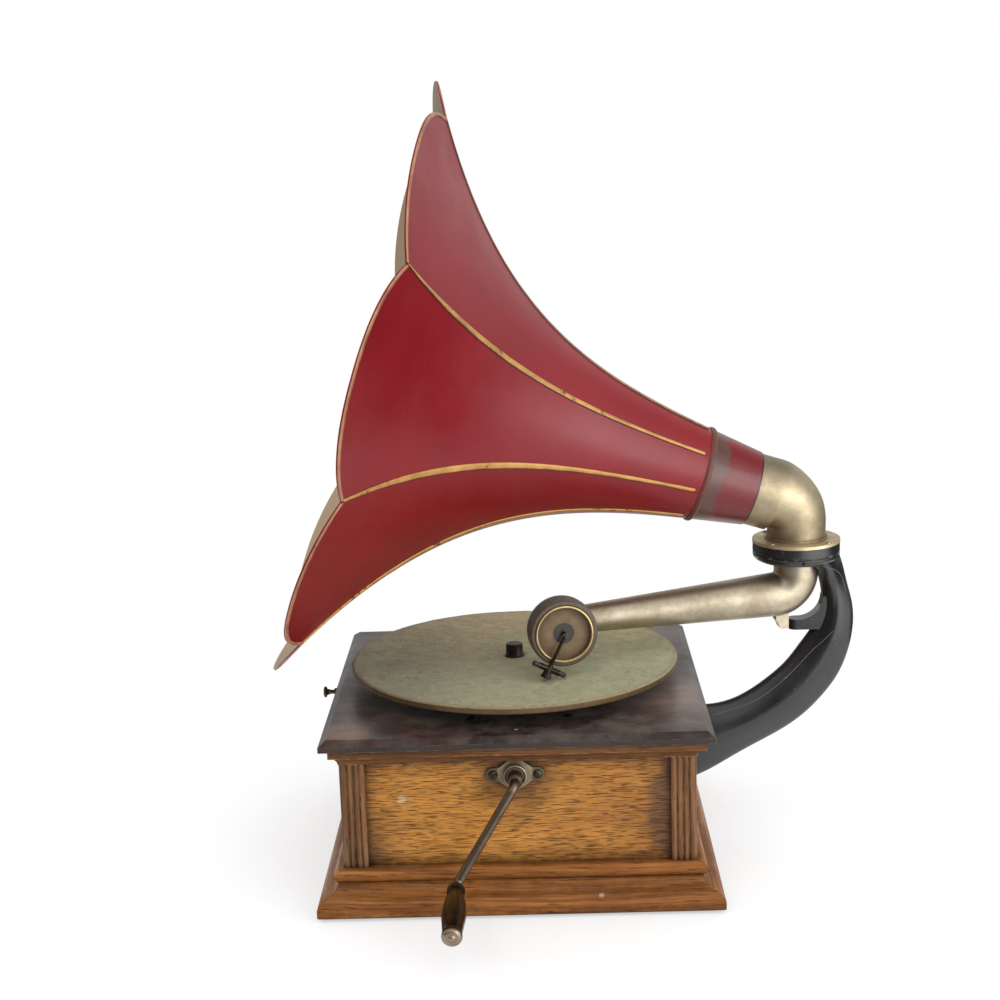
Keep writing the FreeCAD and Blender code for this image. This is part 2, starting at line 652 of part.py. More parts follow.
def build_first_arbor(low, high):
    place = first_arbor_place()
    at = V(place[0], place[1], 0)
    thick = PIVOT_R + 1.5
    shaft = outline(
        (0, low), (PIVOT_R, low), (PIVOT_R, low + PLATE_T + 0.3), (thick, low + PLATE_T + 0.3),
        (thick, high - 0.3), (PIVOT_R, high - 0.3), (PIVOT_R, high + PLATE_T), (0, high + PLATE_T))
    heading = bearing_of(place, barrel_place())
    floor = barrel_floor()
    pinion = spur_gear(PINION_TEETH, GREAT_MODULE, floor - 1.5, floor + GREAT_T + 1.5, place,
                       gap_facing(PINION_TEETH, heading))
    export("first_arbor", turned(shaft, at).fuse(pinion).removeSplitter())
    z0 = first_wheel_z()
    heading = bearing_of(place, (SPINDLE_X, SPINDLE_Y))
    wheel = spur_gear(FIRST_TEETH, FIRST_MODULE, z0, z0 + WHEEL_T, place, heading)
    wheel = spoked(wheel, place, z0, z0 + WHEEL_T, 9.0, FIRST_TEETH * FIRST_MODULE / 2 - 3, 5)
    hub = Part.makeCylinder(8.0, WHEEL_T + 3, V(place[0], place[1], z0))
    bore = Part.makeCylinder(thick, PLATE_GAP, V(place[0], place[1], low + PLATE_T))
    export("first_wheel", wheel.fuse(hub).cut(bore).removeSplitter())


def build_governor(low, high):
    place = governor_place()
    at = V(place[0], place[1], 0)
    r, pivot = GOVERNOR_SHAFT_R, PIVOT_R - 1
    collar_r = 7.7
    collar_z = low + PLATE_T + 7
    shaft = outline(
        (0, low), (pivot, low), (pivot, low + PLATE_T + 0.3), (r, low + PLATE_T + 0.3),
        (r, collar_z), (collar_r, collar_z), (collar_r, collar_z + 8), (r, collar_z + 8),
        (r, high - 0.3), (pivot, high - 0.3), (pivot, high + PLATE_T), (0, high + PLATE_T))
    z0 = speed_wheel_z()
    heading = bearing_of(place, (SPINDLE_X, SPINDLE_Y))
    pinion = spur_gear(PINION_TEETH, SPEED_MODULE, z0 - 1.5, z0 + WHEEL_T + 0.5, place,
                       gap_facing(PINION_TEETH, heading))
    export("governor_shaft", turned(shaft, at).fuse(pinion).removeSplitter())
    disc_z = GOVERNOR_DISC_Z
    disc = outline(
        (r, disc_z - 8), (collar_r, disc_z - 8), (collar_r, disc_z), (GOVERNOR_DISC_R, disc_z),
        (GOVERNOR_DISC_R, disc_z + 2.5), (r, disc_z + 2.5))
    export("governor_disc", turned(disc, at))
    bottom, top = collar_z + 1.0, disc_z - 1.0
    seat, bow, thick = collar_r + 0.1, 4.0, 0.6
    middle = (bottom + top) / 2
    leaf = outline(
        (seat, bottom), (seat + thick, bottom), ((seat + bow + thick, middle), (seat + thick, top)),
        (seat, top), ((seat + bow, middle), (seat, bottom)))
    leaf = leaf.extrude(V(0, 6, 0))
    leaf.translate(V(place[0], place[1] - 3, 0))
    out = seat + bow + thick + 0.05
    weight = rod(GOVERNOR_WEIGHT_R, at + V(out, 0, middle), at + V(out + 6, 0, middle))
    export("governor_springs", *[turn(leaf, 120 * k, at) for k in range(3)])
    export("governor_weights", *[turn(weight, 120 * k, at) for k in range(3)])


# Crank

def ear_places():
    return [CRANK_X - EAR_SPACING / 2, CRANK_X + EAR_SPACING / 2]


def build_crank():
    face = -BOX_HALF
    front = face - ESCUTCHEON_T
    plate = Part.makeCylinder(ESCUTCHEON_R, ESCUTCHEON_T, V(CRANK_X, face, CRANK_Z), V(0, -1, 0))
    for x in ear_places():
        ear = Part.makeCylinder(EAR_R, ESCUTCHEON_T, V(x, face, CRANK_Z), V(0, -1, 0))
        side = 1 if x > CRANK_X else -1
        root, waist = CRANK_X + side * 0.62 * ESCUTCHEON_R, CRANK_X + side * 1.04 * ESCUTCHEON_R
        high, low = 0.78 * ESCUTCHEON_R, 0.46 * ESCUTCHEON_R
        web = outline((CRANK_X, CRANK_Z - high), (root, CRANK_Z - high), (waist, CRANK_Z - low),
                      (x, CRANK_Z - EAR_R), (x, CRANK_Z + EAR_R), (waist, CRANK_Z + low),
                      (root, CRANK_Z + high), (CRANK_X, CRANK_Z + high))
        web = web.extrude(V(0, -ESCUTCHEON_T, 0))
        web.translate(V(0, face, 0))
        screw_hole = Part.makeCylinder(SCREW_R, 3 * ESCUTCHEON_T, V(x, face + 1, CRANK_Z), V(0, -1, 0))
        plate = plate.fuse([ear, web]).cut(screw_hole)
    bore = SHAFT_R + RUN
    boss = outline((bore, 0), (BOSS_R, 0), (BOSS_R, BOSS_H - 1.5),
                   ((BOSS_R - 0.4, BOSS_H - 0.4), (BOSS_R - 1.2, BOSS_H)), (BOSS_R - 1.6, BOSS_H),
                   (BOSS_R - 2.2, BOSS_H - BOSS_DISH), (bore, BOSS_H - BOSS_DISH))
    sleeve = outline((bore, -PANEL_T), (BOSS_R - 2, -PANEL_T), (BOSS_R - 2, 0), (bore, 0))
    plate = plate.fuse([turned(boss, V(CRANK_X, front, CRANK_Z), V(0, -1, 0)),
                        turned(sleeve, V(CRANK_X, face, CRANK_Z), V(0, -1, 0))])
    plate = plate.cut(rod(bore, V(CRANK_X, 0, CRANK_Z), V(CRANK_X, -BASE_HALF, CRANK_Z)))
    export("crank_escutcheon", plate.removeSplitter())

    apex = V(CRANK_X, BARREL_Y, CRANK_Z)
    pinion = bevel_gear(PINION_TEETH, BEVEL_WHEEL_TEETH, BEVEL_MODULE, 0.14)
    pinion = turn(pinion, 90, V(0, 0, 0), X_AXIS)
    pinion = turn(pinion, 90, V(0, 0, 0), Y_AXIS)
    pinion.translate(apex)
    large_end = pinion_end()
    hub = rod(7.5, V(CRANK_X, large_end, CRANK_Z), V(CRANK_X, large_end - BEVEL_HUB_L, CRANK_Z))
    end = front - BOSS_H - 0.5
    shaft = rod(SHAFT_R, V(CRANK_X, large_end + 4, CRANK_Z), V(CRANK_X, end, CRANK_Z))
    export("winding_shaft", pinion.fuse([hub, shaft]).removeSplitter())

    collar_end = CRANK_KNEE_Y + 7
    collar_l = end - collar_end
    collar = outline((0, 0), (CRANK_COLLAR_R, 0), (CRANK_COLLAR_R, collar_l - 3),
                     (CRANK_ROD_R, collar_l), (0, collar_l))
    crank = turned(collar, V(CRANK_X, end, CRANK_Z), V(0, -1, 0))
    points = [V(CRANK_X, end - 4, CRANK_Z), V(CRANK_X, CRANK_KNEE_Y, CRANK_Z),
              V(HANDLE_X, CRANK_END_Y + 2, HANDLE_Z), V(HANDLE_X, CRANK_END_Y - 8, HANDLE_Z)]
    crank = crank.fuse(bent_rod(CRANK_ROD_R, points, 7.0))
    neck = CRANK_END_Y - 8
    pin_end = neck - HANDLE_LENGTH - 1.2
    pin = rod(HANDLE_PIN_R, V(HANDLE_X, neck + 2, HANDLE_Z), V(HANDLE_X, pin_end, HANDLE_Z))
    export("crank_arm", crank.fuse(pin).removeSplitter())

    bore = HANDLE_PIN_R + RUN
    lip = HANDLE_LENGTH - 4.0
    grip = outline(
        (bore, 0.3), (6.5, 0.3), ((7.6, 1.6), (7.9, 4.0)), (7.9, 8.0), ((6.6, 11.0), (7.2, 15.0)),
        ((HANDLE_R + 0.1, 0.51 * HANDLE_LENGTH), (HANDLE_R - 0.9, 0.755 * HANDLE_LENGTH)),
        ((8.2, HANDLE_LENGTH - 8.0), (7.6, lip)), (8.6, lip), (8.6, HANDLE_LENGTH), (bore, HANDLE_LENGTH))
    export("crank_handle", turned(grip, V(HANDLE_X, neck, HANDLE_Z), V(0, -1, 0)))
    rivet_r, rivet_z = 3.4, HANDLE_LENGTH + 3.2
    cap = outline(
        (HANDLE_PIN_R, HANDLE_LENGTH + 0.3), (8.2, HANDLE_LENGTH + 0.3),
        ((7.0, HANDLE_LENGTH + 2.2), (rivet_r, rivet_z)), dome(rivet_r, rivet_z, 1.8),
        (0, HANDLE_LENGTH + 1.2), (HANDLE_PIN_R, HANDLE_LENGTH + 1.2))
    export("handle_cap", turned(cap, V(HANDLE_X, neck, HANDLE_Z), V(0, -1, 0)))


# Bracket

def flange_screw_places():
    inset = 11.0
    return [(y, z) for y in (-FLANGE_W / 2 + inset, FLANGE_W / 2 - inset)
            for z in (FLANGE_Z0 + inset, FLANGE_Z1 - inset)]


def plate_screw_places():
    reach = (ELBOW_FLANGE_R + RING_PLATE_R) / 2 - 0.2
    angles = [math.radians(45 + 90 * k) for k in range(4)]
    return [(RING_X + reach * math.cos(a), reach * math.sin(a)) for a in angles]


def arm_section(x, z, heading, deep, wide):
    """Soft-ridged section of the cast arm, square to a heading in the XZ plane."""
    across = V(-math.sin(heading), 0, math.cos(heading))
    share = 0.62
    places = [(1, 0), (share, share), (0, 1), (-share, share),
              (-1, 0), (-share, -share), (0, -1), (share, -share)]
    points = [V(x, 0, z).add(across * (deep * p)).add(Y_AXIS * (wide * q)) for p, q in places]
    curve = Part.BSplineCurve()
    curve.interpolate(points, PeriodicFlag=True)
    return Part.Wire(curve.toShape())


def build_bracket():
    ledge, step = RING_Z0 + RING_LEDGE, RING_Z0 + RING_LEDGE + RING_STEP
    ring = outline(
        (ARM_STEM_R + RUN, RING_Z0), (RING_R - 7, RING_Z0),
        ((RING_R - 2, RING_Z0 + 1.8), (RING_R, RING_Z0 + 6)),
        (RING_R, RING_Z0 + 7), (RING_R - 0.9, RING_Z0 + 7.5), (RING_R - 0.9, RING_Z0 + 8.3),
        (RING_R, RING_Z0 + 8.8), (RING_R, RING_Z1), (ELBOW_FLANGE_R + RUN, RING_Z1),
        (ELBOW_FLANGE_R + RUN, step), (ARM_FLANGE_R + CLEAR, step), (ARM_FLANGE_R + CLEAR, ledge),
        (ARM_STEM_R + RUN, ledge))
    hoop = turned(ring, V(RING_X, 0, 0))
    wall = BOX_HALF + FLANGE_T
    stations = [
        (RING_X + 19.5, RING_Z0 + 5.6, -90, 19.6, 33), (RING_X + 24.5, RING_Z0 - 4, -88, 17.6, 26.5),
        (RING_X + 28.5, RING_Z0 - 12, -86, 15.6, 20.5), (RING_X + 32, RING_Z0 - 22, -84, 14.3, 15.5),
        (RING_X + 36.5, RING_Z0 - 38, -86, 14, 12.5), (RING_X + 36, TAB_Z0 + 7, -98, 17, 13),
        (RING_X + 30, TAB_Z0 - 13, -118, 20.5, 13.5), (RING_X + 18, TAB_Z0 - 35, -130, 23.5, 14),
        (RING_X - 8, TAB_Z0 - 64, -140, 24.5, 14.5), (RING_X - 36, FLANGE_Z1 - 13.2, -149, 24.2, 15),
        (BOX_HALF + 40.8, FLANGE_Z1 - 29.5, -160, 28.5, 16), (wall - 3, FLANGE_Z1 - 43, -180, 33, 20)]
    sections = [arm_section(x, z, math.radians(a), deep, wide) for x, z, a, deep, wide in stations]
    arm = Part.makeLoft(sections, True, False)
    clear_well = Part.makeCylinder(ELBOW_FLANGE_R, RING_Z1 - RING_Z0, V(RING_X, 0, RING_Z0))
    deep = ARM_STEM_L + ARM_BEND_R + WELL_ROOM
    well = Part.makeCylinder(ARM_STEM_R + WELL_GAP, deep, V(RING_X, 0, RING_Z0 - deep))
    flange = box(BOX_HALF, wall, -FLANGE_W / 2, FLANGE_W / 2, FLANGE_Z0, FLANGE_Z1)
    upright = [edge for edge in flange.Edges if abs(edge.tangentAt(0).x) > 0.9]
    flange = flange.makeFillet(10.0, upright)
    nose = Part.makeCylinder(TAB_R, TAB_Z1 - TAB_Z0, V(RING_X, 0, TAB_Z0))
    root, hollow_x, hollow_z = RING_X + RING_R, RING_X + 2, TAB_Z1 + HOLLOW_R
    slant = HOLLOW_R * math.sqrt(0.5)
    tab = outline(
        (RING_X, TAB_Z0), (root, TAB_Z0), (root, hollow_z), (hollow_x + HOLLOW_R, hollow_z),
        ((hollow_x + slant, hollow_z - slant), (hollow_x, TAB_Z1)), (RING_X, TAB_Z1))
    tab = tab.extrude(V(0, 2 * TAB_R, 0))
    tab.translate(V(0, -TAB_R, 0))
    bracket = arm.cut(clear_well).cut(well).fuse([hoop, flange, nose, tab])
    for y, z in flange_screw_places():
        bracket = bracket.cut(rod(SCREW_R, V(BOX_HALF - 1, y, z), V(wall + 1, y, z)))
    for x, y in plate_screw_places():
        bracket = bracket.cut(Part.makeCylinder(1.2, 7, V(x, y, RING_Z1 - 6)))
    export("horn_bracket", bracket.removeSplitter())
    top = RING_Z1 + RING_PLATE_T
    plate = outline((ELBOW_NECK_R + RUN, RING_Z1), (RING_PLATE_R, RING_Z1), (RING_PLATE_R, top),
                    (ELBOW_NECK_R + RUN, top))
    cover = turned(plate, V(RING_X, 0, 0))
    for x, y in plate_screw_places():
        cover = cover.cut(Part.makeCylinder(1.2, 9, V(x, y, RING_Z1 - 1)))
    export("ring_plate", cover)
    small = outline((0, RING_Z1 - 5), (1.2, RING_Z1 - 5), (1.2, top), (2.5, top), dome(2.5, top, 1.4))
    export("plate_screws", *[turned(small, V(x, y, 0)) for x, y in plate_screw_places()])


# Tone arm and sound box

def swung(shape, angle):
    return turn(shape, angle, V(RING_X, 0, 0))


def arm_tube(shrink):
    """Stem, bend and tapered tube of the tone arm along -X, reduced by a wall."""
    slope = math.radians(ARM_SLOPE)
    stem_top = RING_Z0 + RING_LEDGE + 0.1 + (0 if shrink == 0 else 20)
    stem = Part.makeCylinder(ARM_STEM_R - shrink, stem_top - ARM_BEND_Z, V(RING_X, 0, ARM_BEND_Z))
    disc = Part.Face(Part.Wire(Part.makeCircle(ARM_STEM_R - shrink, V(RING_X, 0, ARM_BEND_Z))))
    bend = disc.revolve(V(RING_X - ARM_BEND_R, 0, ARM_BEND_Z), Y_AXIS, 90 - ARM_SLOPE)
    drop = ARM_BEND_R * math.cos(slope)
    start = V(RING_X - ARM_BEND_R * (1 - math.sin(slope)), 0, ARM_BEND_Z - drop)
    along = V(-math.cos(slope), 0, -math.sin(slope))
    length = (ARM_LENGTH - (RING_X - start.x)) / math.cos(slope)
    tube = Part.makeCone(ARM_STEM_R - shrink, ARM_R1 - shrink, length, start, along)
    return stem.fuse([bend, tube])


def arm_end():
    slope = math.radians(ARM_SLOPE)
    run = ARM_LENGTH - ARM_BEND_R * (1 - math.sin(slope))
    drop = ARM_BEND_R * math.cos(slope) + run * math.tan(slope)
    return V(RING_X - ARM_LENGTH, 0, ARM_BEND_Z - drop)


def build_tonearm():
    end = arm_end()
    toward = V(0, -1, 0)
    arm = arm_tube(0)
    knuckle = Part.makeSphere(ARM_R1, end)
    socket = rod(ARM_R1 - 0.6, end, end.add(toward * (BOX_BACK - 2.5)))
    top = RING_Z0 + RING_LEDGE + 0.1
    flange = Part.makeCylinder(ARM_FLANGE_R, RING_STEP - 1.2, V(RING_X, 0, top))
    near, low = RING_X - TAB_R - 1.0, TAB_Z0 + 1.5
    lug = outline((near, low), (near, TAB_Z1 + 12), (near - 12.6, TAB_Z1 + 12), (near - 12.3, TAB_Z1),
                  (near - 10.5, TAB_Z1 - 2), (near - 8.4, low + 1), (near - 7.4, low))
    lug = lug.extrude(V(0, 10, 0))
    lug.translate(V(0, -5, 0))
    arm = arm.fuse([knuckle, socket, flange, lug])
    arm = arm.cut(arm_tube(ARM_WALL))
    arm = arm.cut(Part.makeSphere(ARM_R1 - ARM_WALL, end))
    neck_r = 9.0
    arm = arm.cut(rod(neck_r + RUN, end, end.add(toward * BOX_BACK)))
    export("tonearm", swung(arm.removeSplitter(), ARM_SWING))

    back = BOX_BACK
    front = BOX_FACE - 1.6
    inner = FACE_RING_R + 0.1
    seat = BOX_FACE - 7.5
    body = outline(
        (neck_r - 2.5, 6.5), (neck_r, 6.5), (neck_r, back - 2), (neck_r + 5, back - 2),
        (neck_r + 5, back), (BOX_R - 3, back), ((BOX_R - 0.9, back + 0.9), (BOX_R, back + 3)),
        (BOX_R, front - 2), ((BOX_R - 0.6, front - 0.6), (BOX_R - 2, front)),
        (inner, front), (inner, seat), (inner - FACE_RING_W, seat), (inner - FACE_RING_W, back + 5),
        (neck_r - 2.5, back + 5))
    place = [end, toward]
    box_body = turned(body, *place)
    export("soundbox_body", swung(box_body, ARM_SWING))
    gasket = outline((inner - FACE_RING_W, seat), (FACE_RING_R, seat), (FACE_RING_R, seat + 2.0),
                     (inner - FACE_RING_W, seat + 2.0))
    export("soundbox_gasket", swung(turned(gasket, *place), ARM_SWING))
    sheet_z = seat + 2.0
    disc = outline((0, sheet_z), (FACE_RING_R, sheet_z), (FACE_RING_R, sheet_z + 0.6), (0, sheet_z + 0.6))
    export("diaphragm", swung(turned(disc, *place), ARM_SWING))
    ring_in = FACE_RING_R - FACE_RING_W
    ring = outline(
        (ring_in, sheet_z + 0.6), (FACE_RING_R, sheet_z + 0.6), (FACE_RING_R, BOX_FACE - 1),
        ((FACE_RING_R - 0.4, BOX_FACE - 0.3), (FACE_RING_R - 1.2, BOX_FACE)), (ring_in + 0.8, BOX_FACE),
        (ring_in, BOX_FACE - 1))
    export("soundbox_ring", swung(turned(ring, *place), ARM_SWING))
    washer = outline((0, sheet_z + 0.6), (9.3, sheet_z + 0.6), (9.3, sheet_z + 1.4), (0, sheet_z + 1.4))
    export("diaphragm_washer", swung(turned(washer, *place), ARM_SWING))

    tilt = math.radians(STYLUS_TILT)
    down = V(-math.sin(tilt), 0, -math.cos(tilt))
    aside = V(math.cos(tilt), 0, -math.sin(tilt))
    level = BOX_FACE + 1.6

    def spot(reach, across, out):
        return end.add(down * reach).add(aside * across).add(toward * out)

    foot = rod(2.0, spot(0, 0, sheet_z + 1.4), spot(0, 0, level + 1))
    bar = rod(1.5, spot(0, 0, level), spot(STYLUS_REACH - 3, 0, level))
    chuck = Part.makeCone(2.4, CHUCK_R, 12.5, spot(STYLUS_REACH - 6, 0, level), down)
    cross = STYLUS_REACH - 2
    fulcrum = rod(2.7, spot(cross, -PIVOT_SPREAD, level), spot(cross, PIVOT_SPREAD, level))
    stylus = foot.fuse([bar, chuck, fulcrum])
    needle_top = spot(STYLUS_REACH - 3, 0, level)
    stylus = stylus.cut(rod(NEEDLE_R, needle_top, spot(STYLUS_REACH + 9, 0, level)))
    export("stylus_bar", swung(stylus.removeSplitter(), ARM_SWING))
    stem = PIVOT_KNOB_R - 0.4
    join = PIVOT_KNOB_L - math.sqrt(PIVOT_KNOB_R ** 2 - stem ** 2)
    crown = PIVOT_KNOB_L + PIVOT_KNOB_R
    knob = outline((0, 0), (stem, 0), (stem, join), ((PIVOT_KNOB_R, PIVOT_KNOB_L), (0, crown)))
    knobs = [turned(knob, spot(cross, PIVOT_SPREAD * side, level), aside * side) for side in (-1, 1)]
    export("stylus_pivots", *[swung(knob, ARM_SWING) for knob in knobs])
    low = STYLUS_REACH + 3
    shank = rod(1.6, spot(low, 0, level + CHUCK_R + 0.1), spot(low, 0, level + 8))
    thumb = rod(2.6, spot(low, 0, level + 6.5), spot(low, 0, level + 9.5))
    export("needle_screw", swung(shank.fuse(thumb).removeSplitter(), ARM_SWING))
    felt_top = PLATTER_TOP + FELT_T
    tip_reach = (end.z - felt_top - 0.15) / math.cos(tilt)
    shank_end = tip_reach - 4.0
    needle = rod(NEEDLE_R, needle_top, spot(shank_end, 0, level))
    point = Part.makeCone(NEEDLE_R, 0.1, tip_reach - shank_end, spot(shank_end, 0, level), down)
    export("needle", swung(needle.fuse(point).removeSplitter(), ARM_SWING))


# Horn

def horn_axes():
    """Start of the horn's axis, its direction and the two directions square to it."""
    tilt = math.radians(HORN_TILT)
    bend = math.pi / 2 - tilt
    along = V(-math.cos(tilt), 0, math.sin(tilt))
    rise = ELBOW_BEND_R * math.sin(bend)
    start = V(RING_X - ELBOW_BEND_R * (1 - math.cos(bend)), 0, ELBOW_BEND_Z + rise)
    return start.add(along * ELBOW_LEG), along, V(0, -1, 0), V(math.sin(tilt), 0, math.cos(tilt))


def elbow_solid(shrink):
    """Swelling bend from the ring up to the horn's throat, about the ring's own axis."""
    bend = 90 - HORN_TILT
    neck_top = RING_Z1 + RING_PLATE_T + 1
    foot = Part.makeCircle(ELBOW_R0 - shrink, V(0, 0, neck_top - shrink), Z_AXIS)
    wires = [Part.Wire(foot)]
    for share in (0.0, 0.25, 0.5, 0.75, 1.0):
        a = math.radians(bend * share)
        rise = ELBOW_BEND_R * math.sin(a)
        centre = V(ELBOW_BEND_R * (math.cos(a) - 1), 0, ELBOW_BEND_Z + rise)
        heading = V(-math.sin(a), 0, math.cos(a))
        radius = ELBOW_R0 + (ELBOW_R1 - ELBOW_R0) * share
        wires.append(Part.Wire(Part.makeCircle(radius - shrink, centre, heading)))
    body = Part.makeLoft(wires, True, False)
    start, along = horn_axes()[:2]
    bend_end = start.sub(along * ELBOW_LEG).sub(V(RING_X, 0, 0))
    leg = Part.makeCylinder(ELBOW_R1 - shrink, ELBOW_LEG + THROAT_LAP + 2 * shrink, bend_end, along)
    return body.fuse(leg)


def flare(s):
    """Radius of the horn at its seams, at a distance along its axis."""
    return THROAT_R + FLARE_SLOPE * s + FLARE_RISE * (s / BELL_LENGTH) ** FLARE_POWER


def petal_point(u, w, lift):
    """Point of a petal: u across from seam to seam, w from throat to rim, lift off the outer face."""
    half = math.pi / PETALS
    first = THROAT_LENGTH + COLLAR_W / 2
    last = BELL_LENGTH + PETAL_TIP * (1 - abs(u) ** PETAL_TIP_POWER)
    s = first + (last - first) * w
    crown = PETAL_CROWN_0 + (PETAL_CROWN_1 - PETAL_CROWN_0) * w
    share = math.cos(half) / math.cos(u * half) + crown * (1 - u * u)
    slope = share * (flare(s + 0.5) - flare(s - 0.5))
    size = math.hypot(1, slope)
    along = s - lift * slope / size
    radius = share * flare(s) + lift / size
    start, axis, near, up = horn_axes()
    angle = math.radians(HORN_ROLL) + half * (u + 1)
    spoke = near * math.cos(angle) + up * math.sin(angle)
    return start.add(axis * along).add(spoke * radius)


def eased(k, count):
    """Share from 0 to 1 in steps that are short at both ends."""
    return (1 - math.cos(math.pi * k / count)) / 2


def sheet_solid(columns, rows, place, lift0, lift1):
    """Closed curved sheet between two lifts; place(i, j) gives (u, w) for column i and row j."""
    skins = []
    for lift in (lift0, lift1):
        grid = [[petal_point(*place(i, j), lift) for j in range(rows)] for i in range(columns)]
        skin = Part.BSplineSurface()
        skin.interpolate(grid)
        skins.append(skin)
    low, high = skins
    faces = [low.toShape(), high.toShape()]
    u0, u1, v0, v1 = low.bounds()
    p0, p1, q0, q1 = high.bounds()
    pairs = [(low.uIso(u0), high.uIso(p0)), (low.uIso(u1), high.uIso(p1)),
             (low.vIso(v0), high.vIso(q0)), (low.vIso(v1), high.vIso(q1))]
    faces += [Part.makeRuledSurface(a.toShape(), b.toShape()) for a, b in pairs]
    shell = Part.makeShell(faces)
    shell.sewShape(1e-3)
    solid = Part.makeSolid(shell)
    if solid.Volume < 0:
        solid.reverse()
    return solid


def build_horn():
    start, along = horn_axes()[:2]
    neck_top = RING_Z1 + RING_PLATE_T + 1
    elbow = elbow_solid(0)
    step = RING_Z0 + RING_LEDGE + RING_STEP
    foot = outline(
        (ELBOW_R0 - ELBOW_WALL, step + 0.1), (ELBOW_FLANGE_R, step + 0.1),
        (ELBOW_FLANGE_R, RING_Z1 - 0.2), (ELBOW_NECK_R, RING_Z1 - 0.2),
        (ELBOW_NECK_R, neck_top + 1.5), (ELBOW_R0 - ELBOW_WALL, neck_top + 1.5))
    elbow = elbow.cut(elbow_solid(ELBOW_WALL)).fuse(turned(foot)).removeSplitter()
    elbow.translate(V(RING_X, 0, 0))
    export("horn_elbow", swung(elbow, HORN_SWING))

    lap = ELBOW_R1 + 0.05
    length = THROAT_LENGTH
    throat = outline((lap, 0), (THROAT_R, 0), (flare(length), length), (flare(length) - SHEET_T, length),
                     (lap, THROAT_LAP + 0.5))
    export("horn_throat", swung(turned(throat, start, along), HORN_SWING))
    s0, s1 = length - COLLAR_W / 2, length + COLLAR_W / 2
    rim = flare(length) + COLLAR_H
    collar = outline(
        (flare(s0) + 0.05, s0), (rim - 1.2, s0), ((rim, length), (rim - 0.8, s1)),
        (flare(s1) - 0.6, s1), (flare(s1) - 0.6, length + 0.05), (flare(length) + 0.05, length + 0.05))
    export("horn_collar", swung(turned(collar, start, along), HORN_SWING))

    petal = sheet_solid(9, 11, lambda i, j: (-1 + i / 4, eased(j, 10)), -SHEET_T, 0.0)
    full = BELL_LENGTH - THROAT_LENGTH

    def seam_place(i, j):
        w = 0.006 + 0.969 * eased(j, 8)
        width = SEAM_W / (flare(THROAT_LENGTH + full * w) * math.pi / PETALS)
        return (-1 + width * i / 2, w)

    def hem_place(i, j):
        return (-0.93 + 1.92 * i / 8, 1 - HEM_W / full * 0.5 * (2 - j))

    seam = sheet_solid(3, 9, seam_place, LAY, SEAM_H)
    hem = sheet_solid(9, 3, hem_place, LAY, HEM_H)
    for name, piece in (("horn_petals", petal), ("horn_seams", seam), ("horn_hems", hem)):
        pieces = [turn(piece, 360 / PETALS * k, start, along) for k in range(PETALS)]
        export(name, *[swung(one, HORN_SWING) for one in pieces])


# Round-head wood screws of the escutcheon and the bracket

def build_wood_screws():
    screw = outline((0, -SCREW_LENGTH), (SCREW_R, -SCREW_LENGTH), (SCREW_R, 0), (SCREW_HEAD_R, 0),
                    dome(SCREW_HEAD_R, 0, SCREW_HEAD_H))
    seats = [(V(x, -BOX_HALF - ESCUTCHEON_T, CRANK_Z), V(0, -1, 0)) for x in ear_places()]
    seats += [(V(BOX_HALF + FLANGE_T, y, z), X_AXIS) for y, z in flange_screw_places()]
    export("wood_screws", *[turned(screw, *seat) for seat in seats])


# Brake

def build_brake():
    rod_start = V(BRAKE_KNOB_X + 2, BRAKE_Y, BRAKE_Z)
    disc_edge = governor_place()[0] - GOVERNOR_DISC_R
    pad_x = disc_edge - CLEAR
    arm_x = pad_x - 3.0 - BRAKE_ARM_T
    knob = outline(
        (0, 0), (3.6, 0), ((4.8, 0.5), (5.2, 1.6)), (5.2, 2.6), ((3.2, 3.4), (2.6, 5.2)), (2.6, 6.0),
        (0, 6.0))
    pull = rod(BRAKE_ROD_R, rod_start, V(arm_x, BRAKE_Y, BRAKE_Z))
    pull = pull.fuse(turned(knob, V(BRAKE_KNOB_X, BRAKE_Y, BRAKE_Z), X_AXIS))
    export("brake_knob", pull.removeSplitter())
    inner = -BOX_HALF + PANEL_T
    length = inner + 6 - BRAKE_BUSH_X
    bush = outline(
        (BRAKE_ROD_R + RUN, 0), (BRAKE_BUSH_R - 0.6, 0), (BRAKE_BUSH_R, 0.6), (BRAKE_BUSH_R, length),
        (BRAKE_ROD_R + RUN, length))
    export("brake_bush", turned(bush, V(BRAKE_BUSH_X, BRAKE_Y, BRAKE_Z), X_AXIS))
    arm_end_x = arm_x + BRAKE_ARM_T
    disc_z = GOVERNOR_DISC_Z
    arm = box(arm_x, arm_end_x, BRAKE_Y - 5, GOVERNOR_Y + 5, disc_z - 4, BRAKE_Z + 4)
    export("brake_arm", arm)
    pad = box(arm_end_x, pad_x, GOVERNOR_Y - 5, GOVERNOR_Y + 5, disc_z - 3, disc_z + 6)
    export("brake_pad", pad)


os.makedirs("parts", exist_ok=True)
build_case()
build_turntable()
build_motor()
build_crank()
build_bracket()
build_tonearm()
build_horn()
build_wood_screws()
build_brake()
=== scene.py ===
import json
import logging
import math
from dataclasses import dataclass
from enum import Enum
from functools import cached_property
from typing import Callable, Optional, Sequence, Union

import bmesh
import bpy
from mathutils import Matrix, Vector, noise
from mathutils.bvhtree import BVHTree

